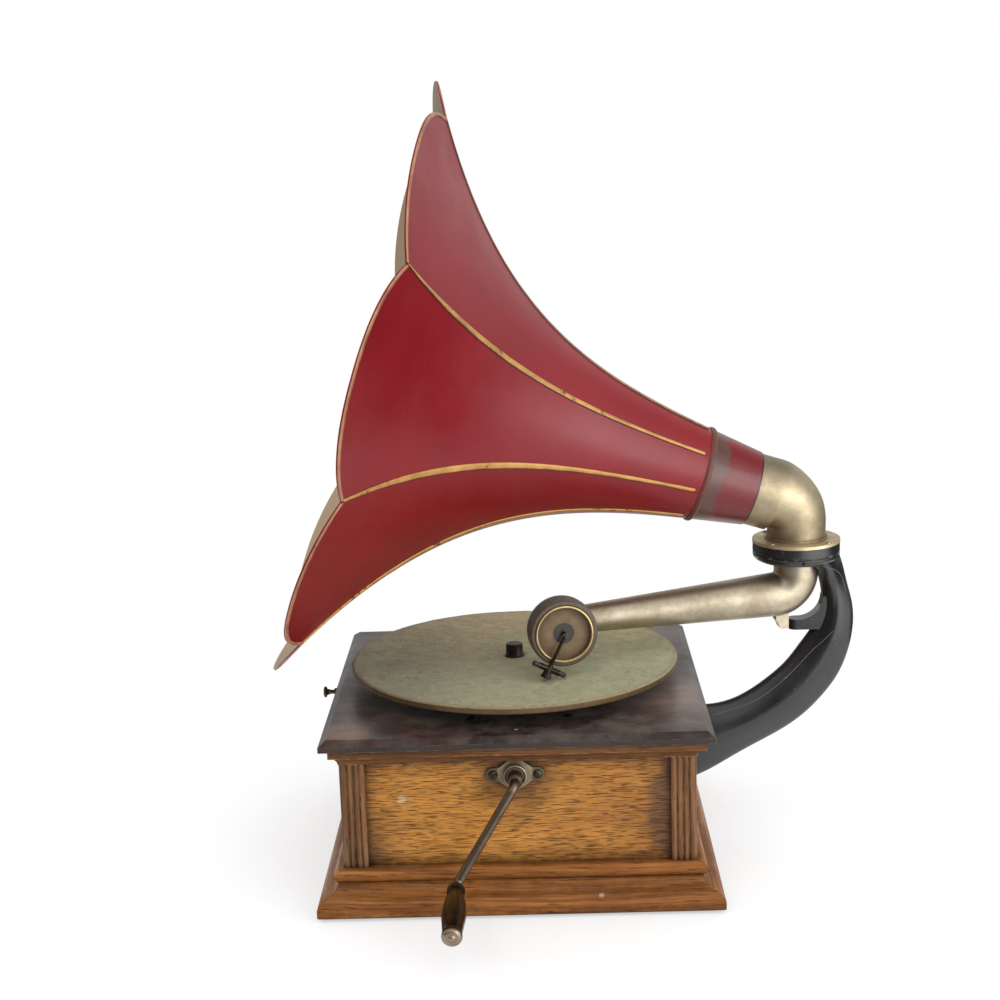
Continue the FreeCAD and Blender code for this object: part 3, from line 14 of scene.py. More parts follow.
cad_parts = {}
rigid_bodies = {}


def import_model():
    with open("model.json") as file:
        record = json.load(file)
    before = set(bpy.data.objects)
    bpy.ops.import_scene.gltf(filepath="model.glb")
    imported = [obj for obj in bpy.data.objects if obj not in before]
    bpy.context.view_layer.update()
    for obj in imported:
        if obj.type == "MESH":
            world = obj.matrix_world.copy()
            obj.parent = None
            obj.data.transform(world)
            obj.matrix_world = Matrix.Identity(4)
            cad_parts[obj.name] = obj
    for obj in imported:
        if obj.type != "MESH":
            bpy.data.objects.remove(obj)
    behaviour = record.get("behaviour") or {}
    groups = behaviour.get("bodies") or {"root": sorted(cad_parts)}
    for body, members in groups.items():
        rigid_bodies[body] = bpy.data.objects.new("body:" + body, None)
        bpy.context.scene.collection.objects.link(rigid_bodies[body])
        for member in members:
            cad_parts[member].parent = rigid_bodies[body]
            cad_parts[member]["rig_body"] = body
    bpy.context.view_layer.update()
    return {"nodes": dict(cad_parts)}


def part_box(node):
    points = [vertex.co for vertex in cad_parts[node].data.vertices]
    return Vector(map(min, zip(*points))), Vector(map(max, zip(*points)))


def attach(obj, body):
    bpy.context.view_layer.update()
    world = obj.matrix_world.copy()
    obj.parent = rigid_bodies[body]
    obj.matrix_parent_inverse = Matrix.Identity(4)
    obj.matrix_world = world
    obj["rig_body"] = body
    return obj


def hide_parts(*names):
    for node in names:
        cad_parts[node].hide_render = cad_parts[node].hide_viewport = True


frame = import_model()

LOG = logging.getLogger("phonograph")
Colour = tuple[float, float, float]
Place = tuple[float, float, float]
Socket = bpy.types.NodeSocket
Feed = Union[Socket, float, Sequence[float]]
MM = 0.001
FULL_TURN = 2 * math.pi
UP = Vector((0.0, 0.0, 1.0))
NEAR = Vector((0.0, -1.0, 0.0))


def shade(red: int, green: int, blue: int) -> Colour:
    """Linear colour of a screen colour.

    Args:
        red: Red, 0 to 255.
        green: Green, 0 to 255.
        blue: Blue, 0 to 255.

    Returns:
        The three linear values, 0 to 1.
    """
    parts = [value / 255 for value in (red, green, blue)]
    return tuple(v / 12.92 if v <= 0.04045 else ((v + 0.055) / 1.055) ** 2.4 for v in parts)


def dim(colour: Colour, share: float) -> Colour:
    """Darker colour: a share of each of its values."""
    return tuple(share * v for v in colour)


def grey(level: float) -> Colour:
    """Even grey of a linear level."""
    return (level, level, level)


class Grain(Enum):
    """Way the wood grain of a piece runs."""

    ACROSS = "x"
    DEEP = "y"
    UPRIGHT = "z"
    ROUND_CASE = "frame"


# Node boards and shared effects

class Board:
    """Lays out the nodes of one material or node group."""

    number_tasks = ("DISTANCE", "LENGTH", "DOT_PRODUCT")

    def __init__(self, tree: bpy.types.NodeTree) -> None:
        """Clears the tree to lay it out afresh."""
        self.tree = tree
        tree.nodes.clear()

    def node(self, kind: str, **settings: object) -> bpy.types.Node:
        """Adds a node.

        Args:
            kind: The node's type after its common prefix.
            settings: Properties to set on the node.

        Returns:
            The new node.
        """
        made = self.tree.nodes.new("ShaderNode" + kind)
        for name, value in settings.items():
            setattr(made, name, value)
        return made

    def feed(self, socket: Socket, value: Feed) -> None:
        """Links a socket to another or sets its own value.

        Args:
            socket: The input to feed.
            value: A socket, a number, a colour or a vector.
        """
        if isinstance(value, Socket):
            self.tree.links.new(value, socket)
        elif hasattr(value, "__len__"):
            wide = len(socket.default_value)
            socket.default_value = tuple(value) + (1.0,) * (wide - len(value))
        else:
            socket.default_value = value

    def feed_all(self, made: bpy.types.Node, *values: Feed) -> bpy.types.Node:
        """Feeds a node's first inputs in their order.

        Args:
            made: The node.
            values: A value for each input.

        Returns:
            The node.
        """
        for socket, value in zip(made.inputs, values):
            self.feed(socket, value)
        return made

    def fill(self, made: bpy.types.Node, **values: Feed) -> bpy.types.Node:
        """Feeds a node's inputs by name.

        Args:
            made: The node.
            values: Values by the inputs' names, in small letters with _ for a space.

        Returns:
            The node.
        """
        named = {one.name.lower().replace(" ", "_"): one for one in made.inputs}
        for name, value in values.items():
            self.feed(named[name], value)
        return made

    def math(self, task: str, first: Feed, second: Feed = 0.0) -> Socket:
        """Result of a sum on two numbers.

        Args:
            task: The operation's name.
            first: The first number.
            second: The second number.

        Returns:
            The result's socket.
        """
        return self.feed_all(self.node("Math", operation=task), first, second).outputs[0]

    def times(self, first: Feed, second: Feed) -> Socket:
        """Product of two numbers."""
        return self.math("MULTIPLY", first, second)

    def plus(self, first: Feed, second: Feed) -> Socket:
        """Sum of two numbers."""
        return self.math("ADD", first, second)

    def less(self, first: Feed, second: Feed) -> Socket:
        """First number less the second."""
        return self.math("SUBTRACT", first, second)

    def most(self, first: Feed, second: Feed) -> Socket:
        """Larger of two numbers."""
        return self.math("MAXIMUM", first, second)

    def weigh(self, first: Feed, share: float, second: Feed, other: float) -> Socket:
        """Sum of a share of one number and another share of a second one."""
        return self.plus(self.times(first, share), self.times(second, other))

    def uneven(self, value: Feed, cloud: Feed, reach: Feed) -> Socket:
        """Value moved up and down by a cloud of 0 to 1, by half the reach each way at most."""
        return self.plus(value, self.times(self.less(cloud, 0.5), reach))

    def vector(self, task: str, first: Feed, second: Feed = (0.0, 0.0, 0.0)) -> Socket:
        """Result of a sum on two vectors.

        Args:
            task: The operation's name.
            first: The first vector.
            second: The second vector.

        Returns:
            The result's socket, a number for a distance, a length or a dot product.
        """
        made = self.feed_all(self.node("VectorMath", operation=task), first, second)
        return made.outputs["Value" if task in self.number_tasks else "Vector"]

    def mix(self, share: Feed, below: Feed, over: Feed) -> Socket:
        """Colour laid over another by a mask.

        Args:
            share: The mask, 0 to 1.
            below: The colour below.
            over: The colour laid over it.

        Returns:
            The colour's socket.
        """
        made = self.node("Mix", data_type="RGBA")
        for number, value in ((0, share), (6, below), (7, over)):
            self.feed(made.inputs[number], value)
        return made.outputs[2]

    def lay(self, mask: Feed, below: Feed, over: Feed, part: float) -> Socket:
        """Colour laid over another by a part of a mask."""
        return self.mix(self.times(mask, part), below, over)

    def span(self, value: Feed, low: Feed, high: Feed, start: Feed = 0.0,
             end: Feed = 1.0) -> Socket:
        """Value spread smoothly from one range to another.

        Args:
            value: The value.
            low: Where the first range starts.
            high: Where the first range ends.
            start: Where the second range starts.
            end: Where the second range ends.

        Returns:
            The spread value's socket.
        """
        made = self.node("MapRange", interpolation_type="SMOOTHSTEP")
        return self.feed_all(made, value, low, high, start, end).outputs["Result"]

    def noise(self, place: Feed, scale: Feed, detail: float = 3.0, rough: float = 0.55) -> Socket:
        """Cloudy value in space.

        Args:
            place: Where the value is taken.
            scale: Clouds to a metre.
            detail: How many finer layers are added.
            rough: How strong the finer layers are.

        Returns:
            The value's socket, mostly 0.3 to 0.7.
        """
        made = self.fill(self.node("TexNoise"), vector=place, scale=scale, detail=detail,
                         roughness=rough)
        return made.outputs["Fac"]

    def streaks(self, place: Feed, along: float, across: float, detail: float = 3.0,
                rough: float = 0.55) -> Socket:
        """Cloudy value drawn out along the place's x.

        Args:
            place: Where the value is taken.
            along: Clouds to a metre along x.
            across: Clouds to a metre along y and z.
            detail: How many finer layers are added.
            rough: How strong the finer layers are.

        Returns:
            The value's socket.
        """
        drawn = self.vector("MULTIPLY", place, (along, across, across))
        return self.noise(drawn, 1.0, detail, rough)

    def place(self) -> Socket:
        """Place on the piece, in metres."""
        return self.node("TexCoord").outputs["Object"]

    def away(self, middle: Place) -> Socket:
        """Distance of the place on the piece from a middle, in metres."""
        return self.vector("DISTANCE", self.place(), middle)

    def noted(self, name: str) -> Socket:
        """Value that a mesh keeps at its points."""
        return self.node("Attribute", attribute_name=name).outputs["Fac"]

    def parts(self, place: Feed) -> list[Socket]:
        """The x, y and z of a place."""
        return list(self.feed_all(self.node("SeparateXYZ"), place).outputs)

    def facing_up(self) -> Socket:
        """How far the surface faces up: 1 where it lies level, 0 where it is upright."""
        return self.parts(self.node("NewGeometry").outputs["Normal"])[2]

    def join(self, x: Feed, y: Feed, z: Feed) -> Socket:
        """Place of its x, y and z."""
        return self.feed_all(self.node("CombineXYZ"), x, y, z).outputs[0]

    def grain_place(self, along: Grain) -> Socket:
        """Place turned so that its x runs with the grain.

        Args:
            along: Way the grain runs.

        Returns:
            The turned place's socket.
        """
        x, y, z = self.parts(self.place())
        if along is Grain.ROUND_CASE:
            wide = self.math("GREATER_THAN", self.math("ABSOLUTE", y), self.math("ABSOLUTE", x))
            swap = self.less(1.0, wide)
            run = self.plus(self.times(x, wide), self.times(y, swap))
            side = self.plus(self.times(y, wide), self.times(x, swap))
            return self.join(run, side, z)
        order = {Grain.ACROSS: (x, y, z), Grain.DEEP: (y, x, z), Grain.UPRIGHT: (z, x, y)}
        return self.join(*order[along])

    def effect(self, tree: bpy.types.NodeTree, **inputs: Feed) -> bpy.types.NodeOutputs:
        """Outputs of a shared effect, placed with its inputs' values by name."""
        return self.fill(self.node("Group", node_tree=tree), **inputs).outputs

    def mask(self, tree: bpy.types.NodeTree, **inputs: Feed) -> Socket:
        """Mask of a shared effect, placed with its inputs' values by name."""
        return self.effect(tree, **inputs)["Mask"]

    def bump(self, shader: bpy.types.Node, height: Feed, depth: float) -> None:
        """Roughens a shader's surface.

        Args:
            shader: The shader.
            height: The height, 0 to 1.
            depth: How deep a height of 1 is, in metres.
        """
        made = self.fill(self.node("Bump"), strength=1.0, distance=depth, height=height)
        self.feed(shader.inputs["Normal"], made.outputs["Normal"])


class Effects:
    """Node groups that several finishes share, each made once."""

    edge_samples = 4
    scratch_ways = (((0.3, 0.9, 0.4), (1.0, 14.0, 9.0)), ((1.1, -0.5, 0.8), (12.0, 1.0, 15.0)))
    grain_wander = 0.012

    def start(self, name: str, outputs: Sequence[str] = ("Mask",), vectors: Sequence[str] = (),
              **inputs: float) -> tuple[Board, dict[str, Socket], bpy.types.NodeInputs]:
        """Starts a node group.

        Args:
            name: The group's name.
            outputs: Its outputs.
            vectors: Its vector inputs.
            inputs: Its number inputs with their usual values.

        Returns:
            The board, the group's inputs by name and the sockets of its outputs.
        """
        tree = bpy.data.node_groups.new(name, "ShaderNodeTree")
        sockets = tree.interface
        for one in vectors:
            sockets.new_socket(one, in_out="INPUT", socket_type="NodeSocketVector")
        for one, value in inputs.items():
            made = sockets.new_socket(one, in_out="INPUT", socket_type="NodeSocketFloat")
            made.default_value = value
        for one in outputs:
            sockets.new_socket(one, in_out="OUTPUT", socket_type="NodeSocketFloat")
        board = Board(tree)
        source = tree.nodes.new("NodeGroupInput")
        sink = tree.nodes.new("NodeGroupOutput")
        return board, {s.name: s for s in source.outputs if s.name}, sink.inputs

    @cached_property
    def mottle(self) -> bpy.types.NodeTree:
        """Cloudy patches: Scale to a metre, Contrast, and Shift for another set.

        Returns:
            The node group.
        """
        board, given, out = self.start("mottle", Scale=30.0, Contrast=2.0, Shift=0.0)
        moved = board.vector("ADD", board.place(), given["Shift"])
        cloud = board.noise(moved, given["Scale"], detail=6.0, rough=0.6)
        wide = board.uneven(0.5, cloud, given["Contrast"])
        board.feed(out["Mask"], board.feed_all(board.node("Clamp"), wide).outputs[0])
        return board.tree

    @cached_property
    def specks(self) -> bpy.types.NodeTree:
        """Small round spots: Scale to a metre, Share of the places that have one, and their Size.

        Returns:
            The node group.
        """
        board, given, out = self.start("specks", Scale=800.0, Share=0.2, Size=0.3)
        cells = board.fill(board.node("TexVoronoi"), vector=board.place(), scale=given["Scale"])
        pick, other, _ = board.parts(cells.outputs["Color"])
        size = board.times(given["Size"], board.span(other, 0.0, 1.0, 0.4, 1.0))
        spot = board.span(cells.outputs["Distance"], size, board.times(size, 0.6))
        has_one = board.math("LESS_THAN", pick, given["Share"])
        board.feed(out["Mask"], board.times(spot, has_one))
        return board.tree

    @cached_property
    def scratches(self) -> bpy.types.NodeTree:
        """Fine lines in two directions: Scale to a metre and Share of the surface they cross.

        Returns:
            The node group.
        """
        board, given, out = self.start("scratches", Scale=25.0, Share=0.5)
        lines = []
        for turn, stretch in self.scratch_ways:
            turned = board.fill(board.node("VectorRotate", rotation_type="EULER_XYZ"),
                                vector=board.place(), rotation=turn)
            drawn = board.vector("MULTIPLY", turned.outputs[0], stretch)
            wave = board.less(board.noise(drawn, given["Scale"], detail=1.0), 0.5)
            lines.append(board.span(board.math("ABSOLUTE", wave), 0.012, 0.002))
        patch = board.noise(board.place(), board.times(given["Scale"], 0.8), detail=2.0)
        patch = board.span(board.plus(patch, given["Share"]), 0.9, 1.1)
        board.feed(out["Mask"], board.times(board.most(*lines), patch))
        return board.tree

    @cached_property
    def edge_wear(self) -> bpy.types.NodeTree:
        """Rubbed edges: Width of the rubbing in metres, Amount and Scale of its ragged line.

        Returns:
            The node group.
        """
        board, given, out = self.start("edge wear", Width=0.0015, Amount=0.5, Scale=90.0)
        rounded = board.fill(board.node("Bevel", samples=self.edge_samples), radius=given["Width"])
        flat = board.node("NewGeometry").outputs["Normal"]
        edge = board.span(board.vector("DOT_PRODUCT", rounded.outputs[0], flat), 0.995, 0.90)
        ragged = board.noise(board.place(), given["Scale"], detail=5.0, rough=0.65)
        limit = board.less(1.28, board.times(given["Amount"], 0.6))
        worn = board.span(board.weigh(edge, 0.55, ragged, 0.9), limit, board.plus(limit, 0.12))
        board.feed(out["Mask"], board.times(worn, board.math("GREATER_THAN", edge, 0.02)))
        return board.tree

    @cached_property
    def corner_dirt_and_shade(self) -> bpy.types.NodeTree:
        """Dirt and painted shade in corners, darker where the surface is closed in: its Reach in
        metres and its Amount.

        Returns:
            The node group.
        """
        board, given, out = self.start("corner_dirt_and_shade", Reach=0.01, Amount=0.6)
        closed = board.node("AmbientOcclusion", samples=self.edge_samples)
        board.fill(closed, distance=given["Reach"])
        deep = board.span(closed.outputs["AO"], 0.95, 0.3)
        cloud = board.noise(board.place(), 120.0, detail=5.0, rough=0.6)
        caught = board.times(deep, board.span(cloud, 0.3, 0.65, 0.45, 1.0))
        board.feed(out["Mask"], board.times(caught, given["Amount"]))
        return board.tree

    @cached_property
    def dust(self) -> bpy.types.NodeTree:
        """Dust that lies on what faces up: its Amount.

        Returns:
            The node group.
        """
        board, given, out = self.start("dust", Amount=0.3)
        patch = board.span(board.noise(board.place(), 45.0, detail=6.0, rough=0.65), 0.35, 0.7)
        fine = board.span(board.noise(board.place(), 900.0, detail=2.0), 0.35, 0.65, 0.5, 1.0)
        loose = board.times(board.times(patch, fine), given["Amount"])
        lying = board.span(board.facing_up(), 0.6, 0.98)
        board.feed(out["Mask"], board.times(lying, loose))
        return board.tree

    @cached_property
    def wood_grain(self) -> bpy.types.NodeTree:
        """Grain along the Place's x: Scale of its streaks and share of its Pores.

        Returns:
            The node group, which gives Figure, Pores and Height.
        """
        board, given, out = self.start("wood grain", ("Figure", "Pores", "Height"), ("Place",),
                                       Scale=1.0, Pores=0.5)
        sized = board.vector("MULTIPLY", given["Place"], given["Scale"])
        drift = board.streaks(sized, 4.0, 14.0)
        x, y, z = board.parts(sized)
        bent = board.join(x, board.uneven(y, drift, self.grain_wander),
                          board.uneven(z, drift, self.grain_wander))
        broad = board.streaks(bent, 3.0, 60.0, detail=4.0, rough=0.6)
        fine = board.streaks(bent, 14.0, 480.0, detail=2.0, rough=0.6)
        board.feed(out["Figure"], board.span(board.weigh(broad, 0.6, fine, 0.4), 0.34, 0.66))
        dash = board.streaks(bent, 70.0, 1500.0, detail=1.0, rough=0.4)
        limit = board.less(0.76, board.times(given["Pores"], 0.23))
        pores = board.span(dash, limit, board.plus(limit, 0.06))
        board.feed(out["Pores"], pores)
        board.feed(out["Height"], board.less(board.times(fine, 0.5), board.times(pores, 0.8)))
        return board.tree


EFFECTS = Effects()


# Finishes

@dataclass(frozen=True)
class Finish:
    """A finish that dresses pieces and makes its material once."""

    name: str

    def material(self) -> bpy.types.Material:
        """Makes the finish's material at its first use.

        Returns:
            The material.
        """
        found = bpy.data.materials.get(self.name)
        if found is None:
            found = bpy.data.materials.new(self.name)
            found.use_nodes = True
            board = Board(found.node_tree)
            shader = board.node("BsdfPrincipled")
            board.feed(board.node("OutputMaterial").inputs["Surface"], shader.outputs[0])
            self.paint(board, shader)
        return found

    def paint(self, board: Board, shader: bpy.types.Node) -> None:
        """Lays the finish's nodes out.

        Args:
            board: The material's board.
            shader: Its surface shader.
        """
        raise NotImplementedError


@dataclass(frozen=True)
class Patch:
    """A rubbed or stained place on wood; soft is the share of its size that fades out."""

    tint: Colour
    middle: Place
    size: float
    soft: float


@dataclass(frozen=True)
class Wood(Finish):
    """Stained and worn wood."""

    along: Grain
    dark: Colour
    pale: Colour
    pore: Colour
    worn: Colour
    stain: Colour
    stained: float = 0.4
    stain_scale: float = 9.0
    streaks: float = 1.0
    pores: float = 0.5
    wear: float = 0.4
    wear_width: float = 0.0016
    dirt_and_shade: float = 0.7
    dirt_and_shade_reach: float = 0.012
    shaded: float = 0.0
    rough: float = 0.42
    shine: float = 0.25
    gloss: float = 0.05
    dusty: float = 0.1
    dust: Colour = shade(150, 138, 128)
    side_shade: float = 0.0
    patches: tuple[Patch, ...] = ()

    def paint(self, board: Board, shader: bpy.types.Node) -> None:
        """Lays out grain, stains, rubbed edges, dirt with painted shade in corners, painted shade
        near borders and on upright sides, and dust.

        Args:
            board: The material's board.
            shader: Its surface shader.
        """
        grain = board.effect(EFFECTS.wood_grain, place=board.grain_place(self.along),
                             scale=self.streaks, pores=self.pores)
        colour = board.mix(grain["Figure"], self.dark, self.pale)
        for one in self.patches:
            cloud = board.mask(EFFECTS.mottle, scale=1.4 / one.size, contrast=1.6, shift=3.0)
            ragged = board.uneven(board.away(one.middle), cloud, 0.4 * one.size)
            near = board.span(ragged, (1.0 + one.soft) * one.size, (1.0 - one.soft) * one.size)
            rubbed = board.mix(grain["Figure"], dim(one.tint, 0.72), one.tint)
            colour = board.lay(near, colour, rubbed, part=0.85)
        cloud = board.mask(EFFECTS.mottle, scale=self.stain_scale, contrast=2.6)
        colour = board.lay(cloud, colour, self.stain, part=self.stained)
        colour = board.lay(grain["Pores"], colour, self.pore, part=0.76)
        # Painted shade: faces that do not face up, such as a bevel, are darkened towards the pore
        # colour.
        if self.side_shade:
            upright = board.span(board.facing_up(), 0.97, 0.85, 0.0, self.side_shade)
            colour = board.mix(upright, colour, self.pore)
        worn = board.mask(EFFECTS.edge_wear, width=self.wear_width, amount=self.wear, scale=70.0)
        colour = board.lay(worn, colour, self.worn, part=0.85)
        spots = board.mask(EFFECTS.specks, scale=260.0, share=0.06, size=0.16)
        colour = board.lay(spots, colour, self.pore, part=0.55)
        # Painted shade: the colour darkens over a wide reach where the surface is closed in,
        # towards borders and corners.
        if self.shaded:
            painted_shade = board.mask(EFFECTS.corner_dirt_and_shade, reach=0.045, amount=self.shaded)
            colour = board.mix(painted_shade, colour, dim(self.pore, 0.9))
        # Dirt and painted shade: the colour darkens where the surface is closed in.
        dirt_and_shade = board.mask(EFFECTS.corner_dirt_and_shade, reach=self.dirt_and_shade_reach, amount=self.dirt_and_shade)
        colour = board.mix(dirt_and_shade, colour, dim(self.pore, 0.35))
        lying = board.mask(EFFECTS.dust, amount=self.dusty)
        colour = board.mix(lying, colour, self.dust)
        dull = board.plus(board.span(cloud, 0.2, 0.9, self.rough - 0.07, self.rough + 0.1),
                          board.times(board.plus(worn, lying), 0.2))
        board.fill(shader, base_color=colour, roughness=dull, specular_ior_level=self.shine,
                   coat_weight=self.gloss, coat_roughness=0.22)
        board.bump(shader, grain["Height"], depth=0.00035)


@dataclass(frozen=True)
class Metal(Finish):
    """Bare or plated metal with its tarnish, and blackened beyond a distance from a middle."""

    bright: Colour
    tarnish: Colour
    tarnished: float = 0.6
    scale: float = 35.0
    rough: float = 0.28
    spread: float = 0.15
    spots: float = 0.15
    spot_colour: Colour = (0.02, 0.015, 0.01)
    wear: float = 0.35
    worn: Colour = (0.8, 0.74, 0.62)
    dirt_and_shade: float = 0.6
    metallic: float = 1.0
    black_middle: Optional[Place] = None
    black_from: float = 0.0
    black_fade: float = 0.004

    def paint(self, board: Board, shader: bpy.types.Node) -> None:
        """Lays out tarnish, spots, rubbed edges, dirt with painted shade in corners, and scratches.

        Args:
            board: The material's board.
            shader: Its surface shader.
        """
        broad = board.mask(EFFECTS.mottle, scale=self.scale, contrast=2.4)
        fine = board.mask(EFFECTS.mottle, scale=self.scale * 7, contrast=2.2, shift=1.7)
        film = board.weigh(broad, 0.65, fine, 0.35)
        colour = board.lay(film, self.bright, self.tarnish, part=self.tarnished)
        spots = board.mask(EFFECTS.specks, scale=660.0, share=self.spots, size=0.24)
        colour = board.lay(spots, colour, self.spot_colour, part=0.7)
        worn = board.mask(EFFECTS.edge_wear, width=0.0009, amount=self.wear, scale=220.0)
        colour = board.lay(worn, colour, self.worn, part=0.8)
        # Dirt and painted shade: the colour darkens where the surface is closed in.
        dirt_and_shade = board.mask(EFFECTS.corner_dirt_and_shade, reach=0.006, amount=self.dirt_and_shade)
        if self.black_middle:
            ragged = board.uneven(board.away(self.black_middle), fine, self.black_fade)
            black = self.black_from + self.black_fade
            dirt_and_shade = board.most(dirt_and_shade, board.span(ragged, self.black_from, black, 0.0, 0.8))
        colour = board.mix(dirt_and_shade, colour, self.spot_colour)
        plain = board.most(dirt_and_shade, spots)
        bare = board.span(plain, 0.1, 0.9, self.metallic, self.metallic * 0.3)
        lines = board.mask(EFFECTS.scratches, scale=30.0, share=0.45)
        dull = board.span(film, 0.1, 0.9, self.rough, self.rough + self.spread)
        dull = board.plus(board.plus(dull, board.times(plain, 0.3)), board.times(lines, 0.08))
        board.fill(shader, base_color=colour, metallic=bare, roughness=dull)
        board.bump(shader, board.less(fine, board.times(lines, 0.5)), depth=0.00004)


@dataclass(frozen=True)
class Paint(Finish):
    """Paint, japan or enamel over metal, with dark rings a pitch apart where it is turned: painted
    shade of grooves.
    """

    coat: Colour
    haze: Colour
    under: Colour
    rough: float = 0.3
    gloss: float = 0.3
    hazed: float = 0.35
    wear: float = 0.3
    wear_width: float = 0.0014
    chips: float = 0.08
    dusty: float = 0.2
    dust: Colour = shade(150, 142, 132)
    texture: float = 0.0001
    shine: float = 0.5
    turned: Optional[Place] = None
    pitch: float = 0.004

    def paint(self, board: Board, shader: bpy.types.Node) -> None:
        """Lays out haze, scratches, chips, rubbed edges, painted shade of grooves and dust.

        Args:
            board: The material's board.
            shader: Its surface shader.
        """
        cloud = board.mask(EFFECTS.mottle, scale=22.0, contrast=2.2)
        colour = board.lay(cloud, self.coat, self.haze, part=self.hazed)
        lines = board.mask(EFFECTS.scratches, scale=18.0, share=0.45)
        colour = board.lay(lines, colour, self.haze, part=0.4)
        chips = board.mask(EFFECTS.specks, scale=420.0, share=self.chips, size=0.22)
        worn = board.mask(EFFECTS.edge_wear, width=self.wear_width, amount=self.wear, scale=130.0)
        bare = board.most(worn, chips)
        colour = board.lay(bare, colour, self.under, part=0.75)
        # Painted shade: dark rings a pitch apart stand for turned grooves that the mesh does not
        # have.
        if self.turned:
            along = board.vector("DOT_PRODUCT", board.place(), self.turned)
            wave = board.math("SINE", board.times(along, FULL_TURN / self.pitch))
            groove_shade = board.span(wave, 0.1, 0.8)
            colour = board.lay(groove_shade, colour, dim(self.coat, 0.4), part=0.75)
        lying = board.mask(EFFECTS.dust, amount=self.dusty)
        colour = board.mix(lying, colour, self.dust)
        dull = board.span(cloud, 0.1, 0.9, self.rough, self.rough + 0.14)
        dull = board.plus(dull, board.times(lying, 0.3))
        gloss = board.span(board.most(bare, lying), 0.0, 0.8, self.gloss, 0.0)
        board.fill(shader, base_color=colour, roughness=dull, coat_weight=gloss,
                   coat_roughness=0.12, specular_ior_level=self.shine)
        fine = board.mask(EFFECTS.mottle, scale=600.0, contrast=1.6)
        board.bump(shader, board.less(fine, bare), depth=self.texture)


@dataclass(frozen=True)
class BareBand:
    """Band of the throat that is rubbed bare, and the dark lip at the throat's end."""

    start: Place
    axis: Place
    first: float = 0.033
    last: float = 0.08
    lip: float = 0.0016
    lip_colour: Colour = shade(22, 10, 10)


@dataclass(frozen=True)
class HornLacquer(Finish):
    """Satin red lacquer of the horn, with haze, fine specks and rubbed places."""

    deep: Colour
    mid: Colour
    rosy: Colour
    under: Colour
    rough: float = 0.28
    shine: float = 0.43
    dust: Colour = shade(186, 96, 92)
    band: Optional[BareBand] = None

    def paint(self, board: Board, shader: bpy.types.Node) -> None:
        """Lays out the red, its haze, specks and, on the throat, the bare band.

        Args:
            board: The material's board.
            shader: Its surface shader.
        """
        broad = board.mask(EFFECTS.mottle, scale=5.5, contrast=2.0)
        cloud = board.mask(EFFECTS.mottle, scale=26.0, contrast=2.0, shift=2.1)
        colour = board.mix(board.weigh(broad, 0.65, cloud, 0.35), self.deep, self.mid)
        veil = board.mask(EFFECTS.mottle, scale=9.0, contrast=2.6, shift=5.3)
        colour = board.lay(veil, colour, self.rosy, part=0.05)
        fine = board.mask(EFFECTS.mottle, scale=750.0, contrast=2.4)
        colour = board.lay(fine, colour, self.rosy, part=0.09)
        dark = board.mask(EFFECTS.specks, scale=480.0, share=0.12, size=0.2)
        colour = board.lay(dark, colour, dim(self.deep, 0.25), part=0.5)
        lines = board.mask(EFFECTS.scratches, scale=9.0, share=0.42)
        colour = board.lay(lines, colour, self.rosy, part=0.1)
        bare = board.mask(EFFECTS.edge_wear, width=0.0012, amount=0.4, scale=160.0)
        band = self.band
        if band:
            from_end = board.vector("SUBTRACT", board.place(), band.start)
            along = board.vector("DOT_PRODUCT", from_end, band.axis)
            ragged = board.uneven(along, board.noise(board.place(), 70.0, 6.0, rough=0.7), 0.03)
            begun = board.span(ragged, band.first, band.first + 0.003)
            ended = board.span(ragged, band.last + 0.001, band.last)
            bare = board.most(bare, board.times(begun, ended))
        old_metal = board.mix(cloud, self.under, dim(self.under, 0.45))
        colour = board.lay(bare, colour, old_metal, part=0.9)
        if band:
            colour = board.mix(board.span(along, band.lip, 0.6 * band.lip), colour, band.lip_colour)
        lying = board.mask(EFFECTS.dust, amount=0.08)
        colour = board.mix(lying, colour, self.dust)
        dull = board.span(veil, 0.1, 0.9, self.rough, self.rough + 0.14)
        board.fill(shader, base_color=colour, roughness=board.plus(dull, board.times(lying, 0.25)),
                   specular_ior_level=self.shine)
        board.bump(shader, fine, depth=0.00004)


@dataclass(frozen=True)
class HornInside(Finish):
    """Inside of the bell: tan bronze at the rim and deep red towards the throat."""

    rim: Colour
    deep: Colour
    spot: Colour = shade(60, 36, 26)

    def paint(self, board: Board, shader: bpy.types.Node) -> None:
        """Lays out the fade from rim to throat with its stains.

        Args:
            board: The material's board.
            shader: Its surface shader.
        """
        cloud = board.mask(EFFECTS.mottle, scale=18.0, contrast=2.4)
        fade = board.uneven(board.noted("reach"), cloud, 0.12)
        colour = board.mix(board.span(fade, 0.7, 0.95), self.deep, self.rim)
        fine = board.mask(EFFECTS.mottle, scale=300.0, contrast=2.2)
        colour = board.lay(fine, colour, dim(self.rim, 0.6), part=0.3)
        spots = board.mask(EFFECTS.specks, scale=360.0, share=0.14, size=0.22)
        colour = board.lay(spots, colour, self.spot, part=0.6)
        board.fill(shader, base_color=colour, roughness=board.span(cloud, 0.1, 0.9, 0.4, 0.58),
                   metallic=board.span(fade, 0.5, 0.95, 0.0, 0.45))
        board.bump(shader, fine, depth=0.00004)


